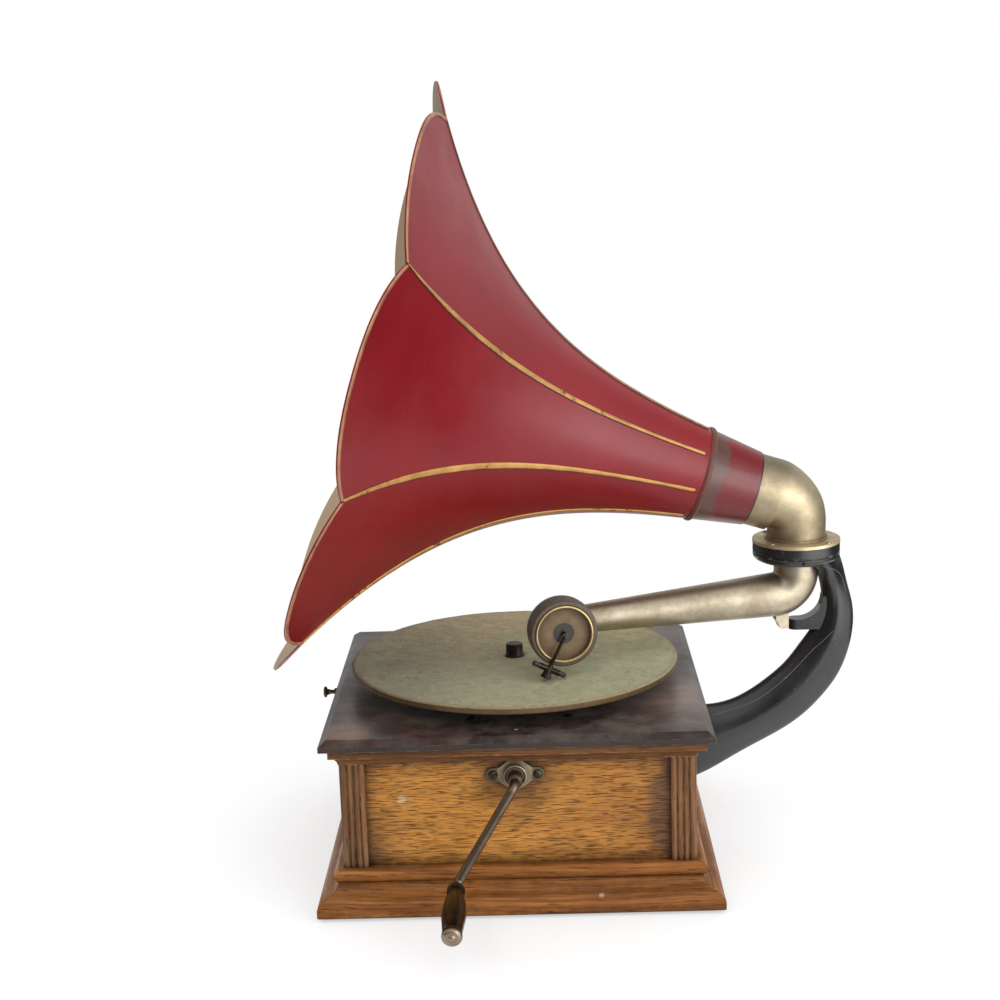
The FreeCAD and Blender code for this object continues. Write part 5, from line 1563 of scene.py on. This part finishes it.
@dataclass
class Bracket:
    """Cast bracket with its ring plate and screws; a ridge's course is given as x and z."""

    cast_edge: float = 0.0009
    cast_angle: float = 28.0
    plate_edge: float = 0.0006
    shank: float = 0.0012
    head: float = 0.0025
    dome: float = 0.0014
    grub: Place = (0.2635, -0.0397, 0.2748)
    grub_mm: tuple[tuple[float, float], ...] = (
        (0.5, -0.8), (0.5, 0.1), (0.8, 0.4), (1.3, 0.4), (1.6, 0.1), (1.6, -0.8))
    ridge_r: float = 0.00035
    ridge_sides: int = 6
    ridge_end: float = 0.2
    ridge_taper: int = 6
    ridge_cuts: int = 3
    before_cast: float = -0.3
    arm_course: tuple[tuple[float, float], ...] = (
        (0.2947, 0.2026), (0.2857, 0.1925), (0.2761, 0.1837), (0.2548, 0.159), (0.2279, 0.1372),
        (0.2091, 0.1294), (0.1827, 0.1217))
    crest_course: tuple[tuple[float, float], ...] = (
        (0.2803, 0.2698), (0.2919, 0.2657), (0.2993, 0.2598), (0.3049, 0.2511), (0.3077, 0.2366))

    def build(self, shop: Workshop) -> None:
        """Makes the casting, the plate, the screws and the ridges.

        Args:
            shop: The workshop.
        """
        japan = Paint("black japanned casting", shade(10, 10, 11), shade(36, 36, 39),
                      shade(150, 146, 140), rough=0.26, gloss=0.4, hazed=0.3, wear=0.42,
                      chips=0.05, dusty=0.06, texture=0.00014, shine=0.65)
        # The ridges' pale grey is partly paint rubbed off and partly a painted highlight along the
        # casting's crease.
        rubbed = Paint("rubbed casting ridge", shade(84, 82, 82), shade(120, 116, 112),
                       shade(160, 154, 146), rough=0.4, gloss=0.1)
        plate = Metal("worn ring plate", shade(232, 216, 182), shade(184, 160, 124),
                      tarnished=0.7, scale=60.0, rough=0.42, spots=0.2, wear=0.5,
                      worn=shade(236, 228, 206))
        screw = Metal("pale screw heads", shade(214, 206, 186), shade(140, 126, 100),
                      tarnished=0.6, rough=0.3, wear=0.4)
        dark = Metal("dark grub screw", shade(46, 42, 40), shade(20, 18, 17), tarnished=0.8,
                     rough=0.4)
        shop.eased(japan, "horn_bracket", width=self.cast_edge, angle=self.cast_angle)
        shop.eased(plate, "ring_plate", width=self.plate_edge)
        shop.screws("ring_screws", "plate_screws", screw, self.shank, self.head, self.dome)
        section = [(MM * radius, MM * run) for radius, run in self.grub_mm]
        grub = hoops("ring_grub_screw", section, [Vector(self.grub)], NEAR)
        shop.add("ring_grub_screw", grub, [dark], "horn_bracket")
        self.ridge(shop, "arm_ridge", rubbed, self.arm_course)
        self.ridge(shop, "crest_ridge", rubbed, self.crest_course)

    def ridge(self, shop: Workshop, name: str, finish: Finish,
              line: Sequence[tuple[float, float]]) -> None:
        """Makes a fine raised line that the mould left on the casting's near face.

        Args:
            shop: The workshop.
            name: The piece's name.
            finish: Its finish.
            line: Its course, as x and z in metres.
        """
        cast = shop.nodes["horn_bracket"].data
        near_face = BVHTree.FromPolygons([v.co for v in cast.vertices],
                                         [p.vertices for p in cast.polygons])
        course = [Vector((x, self.before_cast, z)) for x, z in line]
        for _ in range(self.ridge_cuts):
            cut = [a + (b - a) * t for a, b in zip(course, course[1:]) for t in (0.25, 0.75)]
            course = [course[0]] + cut + [course[-1]]
        hits = [near_face.ray_cast(spot, -NEAR)[0] for spot in course]
        hits = [spot for spot in hits if spot]
        last, around = len(hits) - 1, self.ridge_sides
        spots = []
        for number, spot in enumerate(hits):
            run = (hits[min(number + 1, last)] - hits[max(number - 1, 0)]).normalized()
            side = run.cross(-NEAR).normalized()
            to_end = min(number, last - number) / self.ridge_taper
            size = self.ridge_r * min(1.0, self.ridge_end + to_end)
            for a in (FULL_TURN * k / around for k in range(around)):
                spoke = side * math.cos(a) + side.cross(run) * math.sin(a)
                spots.append(spot + spoke * size)
        faces = tube_faces(0, len(hits), around)
        faces.append(tuple(range(around - 1, -1, -1)))
        faces.append(tuple(range(len(spots) - around, len(spots))))
        shop.add(name, mesh_of(name, spots, faces), [finish], "horn_bracket")


@dataclass
class ToneArm:
    """Tone arm with its sound box and needle; a bead's section is given as lift and run."""

    arm_edge: float = 0.0008
    arm_angle: float = 28.0
    body_edge: float = 0.0005
    bar_edge: float = 0.0004
    ring_edge: float = 0.0003
    washer_edge: float = 0.0002
    face: Place = (0.04506, -0.08217, 0.2265)
    toward: Place = (0.1805, -0.9836, 0.0)
    drum_r: float = 0.0305
    bead_backs: tuple[float, ...] = (0.00595, 0.00995, 0.01395, 0.01795)
    bead_w: float = 0.0024
    bead_h: float = 0.00045
    bead: tuple[tuple[float, float], ...] = (
        (0.0, -1.0), (0.75, -0.55), (1.0, 0.0), (0.75, 0.55), (0.0, 1.0), (-1.0, 0.0))

    def build(self, shop: Workshop) -> None:
        """Makes the arm and the sound box's pieces.

        Args:
            shop: The workshop.
        """
        bronze = Metal("champagne nickel bronze", shade(204, 193, 170), shade(130, 114, 90),
                       tarnished=0.75, scale=26.0, rough=0.37, spread=0.14, spots=0.22,
                       spot_colour=shade(56, 42, 28), wear=0.3, worn=shade(226, 214, 186),
                       dirt_and_shade=0.7)
        shell = Paint("browned sound box", shade(62, 52, 40), shade(104, 90, 70),
                      shade(150, 128, 92), rough=0.36, gloss=0.1, hazed=0.5, wear=0.5,
                      wear_width=0.0009, chips=0.16, dusty=0.2, turned=self.toward)
        gilt = Metal("pale gilt ring", shade(212, 192, 140), shade(140, 116, 74), tarnished=0.6,
                     scale=120.0, rough=0.32, spots=0.3, wear=0.4, worn=shade(232, 212, 160))
        rubber = Soft("gasket rubber", shade(60, 46, 34), shade(84, 66, 48))
        skin = Soft("waxed diaphragm", shade(122, 100, 70), shade(100, 80, 54), rough=0.5,
                    ring_centre=self.face, ring=0.024, ring_colour=shade(74, 52, 34))
        washer = Paint("dark centre washer", shade(30, 25, 21), shade(58, 50, 42),
                       shade(110, 96, 78), rough=0.45, chips=0.12)
        stylus = Metal("browned stylus steel", shade(72, 60, 48), shade(34, 27, 22),
                       tarnished=0.8, scale=140.0, rough=0.36, spots=0.3, wear=0.5,
                       worn=shade(176, 158, 128))
        chuck = Paint("rough black chuck", shade(26, 23, 22), shade(64, 56, 50),
                      shade(116, 100, 82), rough=0.5, gloss=0.05, hazed=0.5, chips=0.25,
                      texture=0.0003)
        needle = Metal("needle steel", shade(176, 172, 164), shade(110, 98, 84), tarnished=0.5,
                       rough=0.2)
        shop.eased(bronze, "tonearm", width=self.arm_edge, angle=self.arm_angle)
        shop.eased(shell, "soundbox_body", width=self.body_edge)
        shop.eased(gilt, "soundbox_ring", width=self.ring_edge)
        shop.dress(rubber, "soundbox_gasket")
        shop.dress(skin, "diaphragm")
        shop.eased(washer, "diaphragm_washer", width=self.washer_edge)
        shop.eased(stylus, "stylus_bar", width=self.bar_edge)
        shop.eased(chuck, "stylus_pivots", "needle_screw", width=self.ring_edge)
        shop.dress(needle, "needle")
        self.beads(shop, shell)

    def beads(self, shop: Workshop, finish: Finish) -> None:
        """Makes the turned beads round the sound box's drum.

        Args:
            shop: The workshop.
            finish: Their finish.
        """
        section = [(self.drum_r + lift * self.bead_h, run * self.bead_w / 2)
                   for lift, run in self.bead]
        out = Vector(self.toward)
        middles = [Vector(self.face) - out * back for back in self.bead_backs]
        mesh = hoops("drum_beads", section, middles, out)
        shop.add("drum_beads", mesh, [finish], "soundbox_body")


@dataclass
class Horn:
    """Petalled horn with its seams, rim, throat and elbow; sizes in millimetres."""

    tilt: float = 17.9
    swing: float = 2.7
    roll: float = 31.1
    petals: int = 8
    ring_x: float = 262.3
    bend_z: float = 301.3
    bend_r: float = 32.0
    leg: float = 20.5
    throat_r: float = 34.6
    cone: float = 0.155
    flare_r: float = 159.6
    flare_power: float = 3.5
    length: float = 360.0
    throat: float = 50.0
    lap: float = 2.5
    tip: float = 17.3
    tip_power: float = 2.3
    crown_in: float = 0.076
    crown_out: float = 0.046
    sheet: float = 1.2
    dent: float = 0.7
    dent_across: float = 1.7
    dent_along: float = 2.6
    dent_layer: float = 4.0
    dent_apart: float = 9.0
    wide: int = 33
    tall: int = 65
    petal_angle: float = 35.0
    seam_w: float = 5.4
    seam_h: float = 1.3
    seam_first: float = 0.012
    seam_run: float = 0.984
    seam_least: float = 0.62
    seam_swell: float = 0.62
    seam_peak: float = 1.6
    seam_narrow: float = 0.25
    seam_narrow_at: float = 0.85
    hem_w: float = 3.0
    hem_h: float = 1.1
    hem_first: float = -0.985
    hem_run: float = 1.975
    hem_lap: float = 0.6
    lay: float = 0.12
    strip_rows: int = 72
    strip_arc: int = 10
    strip_round: float = 0.6
    strip_foot: tuple[float, ...] = (0.7, 0.3)
    strip_angle: float = 50.0
    throat_edge: float = 0.0004

    def __post_init__(self) -> None:
        """Works out the horn's axes."""
        tilt = math.radians(self.tilt)
        bend = math.pi / 2 - tilt
        self.axis = Vector((-math.cos(tilt), 0, math.sin(tilt)))
        self.up = Vector((math.sin(tilt), 0, math.cos(tilt)))
        foot = Vector((self.ring_x - self.bend_r * (1 - math.cos(bend)), 0,
                       self.bend_z + self.bend_r * math.sin(bend)))
        self.start = foot + self.axis * self.leg
        self.half = math.pi / self.petals
        self.turn = Matrix.Rotation(math.radians(self.swing), 3, "Z")

    def flare(self, s: float) -> float:
        """Radius of the horn at its seams, at a distance along its axis."""
        bell = self.flare_r * (s / self.length) ** self.flare_power
        return self.throat_r + self.cone * s + bell

    def point(self, u: float, w: float, lift: float) -> Vector:
        """Point on the first petal.

        Args:
            u: Place from seam to seam, -1 to 1.
            w: Place from throat to rim, 0 to 1.
            lift: Height above the outer face, in millimetres.

        Returns:
            The point before the horn is turned, in millimetres.
        """
        first = self.throat + self.lap
        last = self.length + self.tip * (1 - abs(u) ** self.tip_power)
        s = first + (last - first) * w
        crown = self.crown_in + (self.crown_out - self.crown_in) * w
        share = math.cos(self.half) / math.cos(u * self.half) + crown * (1 - u * u)
        slope = share * (self.flare(s + 0.5) - self.flare(s - 0.5))
        size = math.hypot(1, slope)
        a = math.radians(self.roll) + self.half * (u + 1)
        out = NEAR * math.cos(a) + self.up * math.sin(a)
        along = self.axis * (s - lift * slope / size)
        return self.start + along + out * (share * self.flare(s) + lift / size)

    def turned(self, spot: Vector, number: int) -> Vector:
        """Point of another petal in the model's place.

        Args:
            spot: The point on the first petal, in millimetres.
            number: The petal's number.

        Returns:
            The point, in metres.
        """
        round_axis = Matrix.Rotation(2 * self.half * number, 3, self.axis)
        spot = self.start + round_axis @ (spot - self.start)
        pivot = Vector((self.ring_x, 0, 0))
        return (pivot + self.turn @ (spot - pivot)) * MM

    def build(self, shop: Workshop) -> None:
        """Makes the bell, seams and rim, and dresses the throat and elbow.

        Args:
            shop: The workshop.
        """
        old = dict(rosy=shade(166, 54, 58), under=shade(96, 64, 55))
        skin = HornLacquer("red horn lacquer", deep=shade(104, 2, 13), mid=shade(130, 6, 21), **old)
        inside = HornInside("bronzed bell inside", shade(182, 158, 126), shade(110, 18, 26))
        gold = Gilding("gilt seam", shade(204, 156, 88), shade(160, 114, 60), shade(104, 60, 38),
                       fades=True)
        rim = Gilding("gilt rim", shade(188, 140, 104), shade(146, 92, 72), shade(116, 44, 42),
                      chipped=0.35, line=0.0)
        band = BareBand(tuple(self.turned(self.start, 0)), tuple(self.turn @ self.axis))
        neck = HornLacquer("red throat lacquer", deep=shade(78, 4, 12), mid=shade(112, 8, 20),
                           rough=0.22, shine=0.58, band=band, **old)
        bead = Paint("worn collar bead", shade(84, 40, 34), shade(120, 70, 54),
                     shade(176, 132, 84), rough=0.4, gloss=0.05, wear=0.8, wear_width=0.001,
                     chips=0.4, dusty=0.1)
        elbow = Metal("champagne elbow bronze", shade(192, 178, 150), shade(124, 106, 78),
                      tarnished=0.8, scale=20.0, rough=0.42, spread=0.14, spots=0.25,
                      spot_colour=shade(52, 40, 26), wear=0.3, worn=shade(230, 218, 190), dirt_and_shade=0.8)
        self.bell(shop, skin, inside)
        self.strips(shop, "gilt_seams", "horn_seams", gold, self.seam_spot)
        self.strips(shop, "rolled_rim", "horn_hems", rim, self.hem_spot)
        shop.eased(neck, "horn_throat", width=self.throat_edge)
        shop.dress(bead, "horn_collar")
        shop.dress(elbow, "horn_elbow")

    def wave(self, u: float, w: float, number: int) -> float:
        """Uneven value of -1 to 1 at a place on a petal, from which its dents come."""
        across = u * self.dent_across + self.dent_apart * number
        return noise.noise((across, w * self.dent_along, self.dent_layer))

    def bell(self, shop: Workshop, skin: Finish, inside: Finish) -> None:
        """Makes the eight petals as one thin shell, each with two faces and its edges.

        Args:
            shop: The workshop.
            skin: Finish of the outer face.
            inside: Finish of the inner face.
        """
        wide, tall = self.wide, self.tall
        inner = wide * tall
        spots, faces, kinds, reach = [], [], [], []
        for number in range(self.petals):
            base = len(spots)
            for side in (0.0, -self.sheet):
                for w in (j / (tall - 1) for j in range(tall)):
                    for u in (-1 + 2 * i / (wide - 1) for i in range(wide)):
                        dent = min(self.wave(u, w, number) * self.dent * (1 - u * u) * w, 0.0)
                        spots.append(self.turned(self.point(u, w, side + dent), number))
                        reach.append(w)
            for j in range(tall - 1):
                for a in range(base + j * wide, base + (j + 1) * wide - 1):
                    b = a + inner
                    faces.append((a, a + 1, a + wide + 1, a + wide))
                    faces.append((b, b + wide, b + wide + 1, b + 1))
                    kinds += [0, 1]
            end = base + inner - 1
            edge = [*range(base, base + wide), *range(base + 2 * wide - 1, end + 1, wide),
                    *range(end - 1, end - wide, -1), *range(end + 1 - 2 * wide, base, -wide)]
            for a, b in zip(edge, edge[1:] + edge[:1]):
                faces.append((b, a, a + inner, b + inner))
                kinds.append(0)
        mesh = mesh_of("bell_petals", spots, faces)
        note(mesh, "reach", reach)
        mesh.set_sharp_from_angle(angle=math.radians(self.petal_angle))
        shop.hang("bell_petals", mesh, [skin, inside], "horn_petals")
        mesh.polygons.foreach_set("material_index", kinds)

    def seam_spot(self, run: float, side: float, lift: float) -> tuple[Vector, float]:
        """Point on a seam strip.

        Args:
            run: Place along the strip, 0 to 1.
            side: Place across the strip, 0 to 1.
            lift: Height above the petal as a share of the strip's.

        Returns:
            The point and its place from throat to rim.
        """
        w = self.seam_first + self.seam_run * run
        swell = self.seam_swell * math.sin(math.pi * run ** self.seam_peak) * run ** 0.5
        at = self.seam_narrow_at
        narrow = self.seam_narrow * max(0.0, run - at) / (1 - at)
        half_petal = self.flare(self.throat + (self.length - self.throat) * w) * self.half
        width = self.seam_w * (self.seam_least + swell - narrow) / half_petal
        return self.point(-1 + width * side, w, self.lay + (self.seam_h - self.lay) * lift), w

    def hem_spot(self, run: float, side: float, lift: float) -> tuple[Vector, float]:
        """Point on a rim strip.

        Args:
            run: Place along the strip, 0 to 1.
            side: Place across the strip, 0 to 1.
            lift: Height above the petal as a share of the strip's.

        Returns:
            The point and its place from throat to rim.
        """
        w = 1 - self.hem_lap * self.hem_w / (self.length - self.throat) * (1 - side)
        u = self.hem_first + self.hem_run * run
        return self.point(u, w, self.lay + (self.hem_h - self.lay) * lift), w

    def strips(self, shop: Workshop, name: str, node: str, finish: Finish,
               spot: Callable[[float, float, float], tuple[Vector, float]]) -> None:
        """Makes the raised strips of all petals with round backs.

        Args:
            shop: The workshop.
            name: The piece's name.
            node: The node that it stands for.
            finish: Its finish.
            spot: Gives a point on the first strip.
        """
        arc = [math.pi * k / self.strip_arc for k in range(self.strip_arc + 1)]
        ring = [(0.5 - 0.5 * math.cos(a), math.sin(a) ** self.strip_round) for a in arc]
        ring += [(side, 0.0) for side in self.strip_foot]
        around, rows = len(ring), self.strip_rows
        spots, faces, reach, across = [], [], [], []
        for number in range(self.petals):
            base = len(spots)
            for j in range(rows + 1):
                for side, lift in ring:
                    place, w = spot(j / rows, side, lift)
                    spots.append(self.turned(place, number))
                    reach.append(w)
                    across.append(side)
            faces += tube_faces(base, rows + 1, around)
            faces.append(range(base, base + around))
            faces.append(range(len(spots) - 1, len(spots) - 1 - around, -1))
        mesh = mesh_of(name, spots, faces)
        note(mesh, "reach", reach)
        note(mesh, "across", across)
        shape = bmesh.new()
        shape.from_mesh(mesh)
        bmesh.ops.recalc_face_normals(shape, faces=shape.faces)
        shape.to_mesh(mesh)
        shape.free()
        mesh.set_sharp_from_angle(angle=math.radians(self.strip_angle))
        shop.hang(name, mesh, [finish], node)


@dataclass
class Studio:
    """Pale floor, soft lights and the camera."""

    focal: float = 65.04
    sensor: float = 36.0
    yaw: float = -1.221
    pitch: float = 12.251
    roll: float = -1.869
    eye: Place = (0.0241, -1.6314, 0.6875)
    far_clip: float = 100.0
    floor_radius: float = 0.7
    floor_sides: int = 96

    def build(self) -> None:
        """Sets the camera, floor, lights and world up."""
        self.set_camera()
        self.lay_floor()
        self.light_world()
        self.lamp("key_light", (1.87, -1.75, 0.8), aim=(0.05, 0.0, 0.35), size=(2.6, 1.6),
                  power=48.0)
        fill = self.lamp("fill_light", (-1.1, -2.3, 1.9), aim=(0.0, 0.0, 0.3), size=(0.9, 0.9),
                         power=10.0)
        fill.visible_glossy = False
        bpy.context.scene.view_settings.view_transform = "Standard"

    def set_camera(self) -> None:
        """Places the camera as the photograph was taken."""
        yaw, pitch, roll = (math.radians(v) for v in (self.yaw, self.pitch, self.roll))
        ahead = Vector((math.sin(yaw) * math.cos(pitch), math.cos(yaw) * math.cos(pitch),
                        -math.sin(pitch)))
        right = Vector((math.cos(yaw), -math.sin(yaw), 0))
        up = right.cross(ahead)
        level = math.cos(roll) * right + math.sin(roll) * up
        crown = -math.sin(roll) * right + math.cos(roll) * up
        lens = bpy.data.cameras.new("camera")
        lens.lens = self.focal
        lens.sensor_width = self.sensor
        lens.clip_end = self.far_clip
        camera = bpy.data.objects.new("camera", lens)
        turn = Matrix((level, crown, -ahead)).transposed().to_4x4()
        camera.matrix_world = Matrix.Translation(self.eye) @ turn
        bpy.context.scene.collection.objects.link(camera)
        bpy.context.scene.camera = camera

    def seen(self, board: Board) -> Socket:
        """Finds the rays that show a surface to the eye, straight or mirrored.

        Args:
            board: The board of the floor or the world.

        Returns:
            The mask's socket.
        """
        path = board.node("LightPath").outputs
        straight = board.most(path["Is Camera Ray"], path["Is Glossy Ray"])
        return board.most(straight, path["Is Transmission Ray"])

    def lay_floor(self) -> None:
        """Lays the pale floor, which whitens away from the object."""
        turns = [FULL_TURN * k / self.floor_sides for k in range(self.floor_sides)]
        rim = [(self.floor_radius * math.cos(a), self.floor_radius * math.sin(a), 0.0)
               for a in turns]
        mesh = mesh_of("floor", rim, [range(self.floor_sides)], smooth=False)
        floor = bpy.data.objects.new("floor", mesh)
        bpy.context.scene.collection.objects.link(floor)
        pale = bpy.data.materials.new("pale floor")
        pale.use_nodes = True
        board = Board(pale.node_tree)
        grain = board.noise(board.place(), 40.0, detail=4.0)
        matt = board.fill(board.node("BsdfPrincipled"), specular_ior_level=0.1,
                          base_color=board.mix(grain, grey(0.86), grey(0.9)),
                          roughness=board.span(grain, 0.2, 0.8, 0.75, 0.9))
        white = board.node("Emission")
        away = board.vector("LENGTH", board.place())
        share = board.times(self.seen(board), board.span(away, 0.2, 0.68, 0.5, 1.0))
        both = board.feed_all(board.node("MixShader"), share, matt.outputs[0], white.outputs[0])
        board.feed(board.node("OutputMaterial").inputs["Surface"], both.outputs[0])
        mesh.materials.append(pale)

    def light_world(self) -> None:
        """Makes a white studio, mirrored darker overhead and behind the eye, softer as a light."""
        world = bpy.data.worlds.new("studio")
        bpy.context.scene.world = world
        world.use_nodes = True
        board = Board(world.node_tree)
        side, depth, height = board.parts(board.node("TexCoord").outputs["Generated"])
        behind = board.mix(board.span(depth, -0.15, 0.45), grey(0.85), grey(0.7))
        behind = board.mix(board.span(height, 0.45, 0.8), behind, grey(0.25))
        before = board.mix(board.span(height, 0.35, 0.6), grey(0.07), grey(1.1))
        room = board.mix(board.span(depth, 0.05, -0.4, 0.0, 0.95), behind, before)
        right = board.less(board.times(side, 0.73), board.times(depth, 0.68))
        low = board.mix(board.span(right, 0.62, 0.88), grey(0.08), grey(1.8))
        room = board.mix(board.span(height, 0.0, -0.12), room, low)
        shown = board.mix(board.node("LightPath").outputs["Is Camera Ray"], room, grey(1.0))
        soft = board.mix(board.span(height, -0.1, 0.6), grey(0.26), grey(1.35))
        sky = board.fill(board.node("Background"), color=board.mix(self.seen(board), soft, shown))
        board.feed(board.node("OutputWorld").inputs["Surface"], sky.outputs[0])

    def lamp(self, name: str, place: Place, aim: Place, size: tuple[float, float],
             power: float) -> bpy.types.Object:
        """Hangs a soft light.

        Args:
            name: The light's name.
            place: Where it hangs.
            aim: What it points at.
            size: Its width and height, in metres.
            power: Its power, in watts.

        Returns:
            The hung light.
        """
        light = bpy.data.lights.new(name, "AREA")
        light.shape = "RECTANGLE"
        light.size, light.size_y = size
        light.energy = power
        hung = bpy.data.objects.new(name, light)
        turn = (Vector(aim) - Vector(place)).to_track_quat("-Z", "Y").to_matrix().to_4x4()
        hung.matrix_world = Matrix.Translation(place) @ turn
        bpy.context.scene.collection.objects.link(hung)
        return hung


def main() -> None:
    """Builds the sub-assemblies in order."""
    logging.basicConfig(level=logging.INFO, format="%(message)s")
    shop = Workshop()
    Studio().build()
    for assembly in (Case(), Turntable(), Motor(), Crank(), Bracket(), ToneArm(), Horn()):
        assembly.build(shop)


if __name__ == "__main__":
    main()
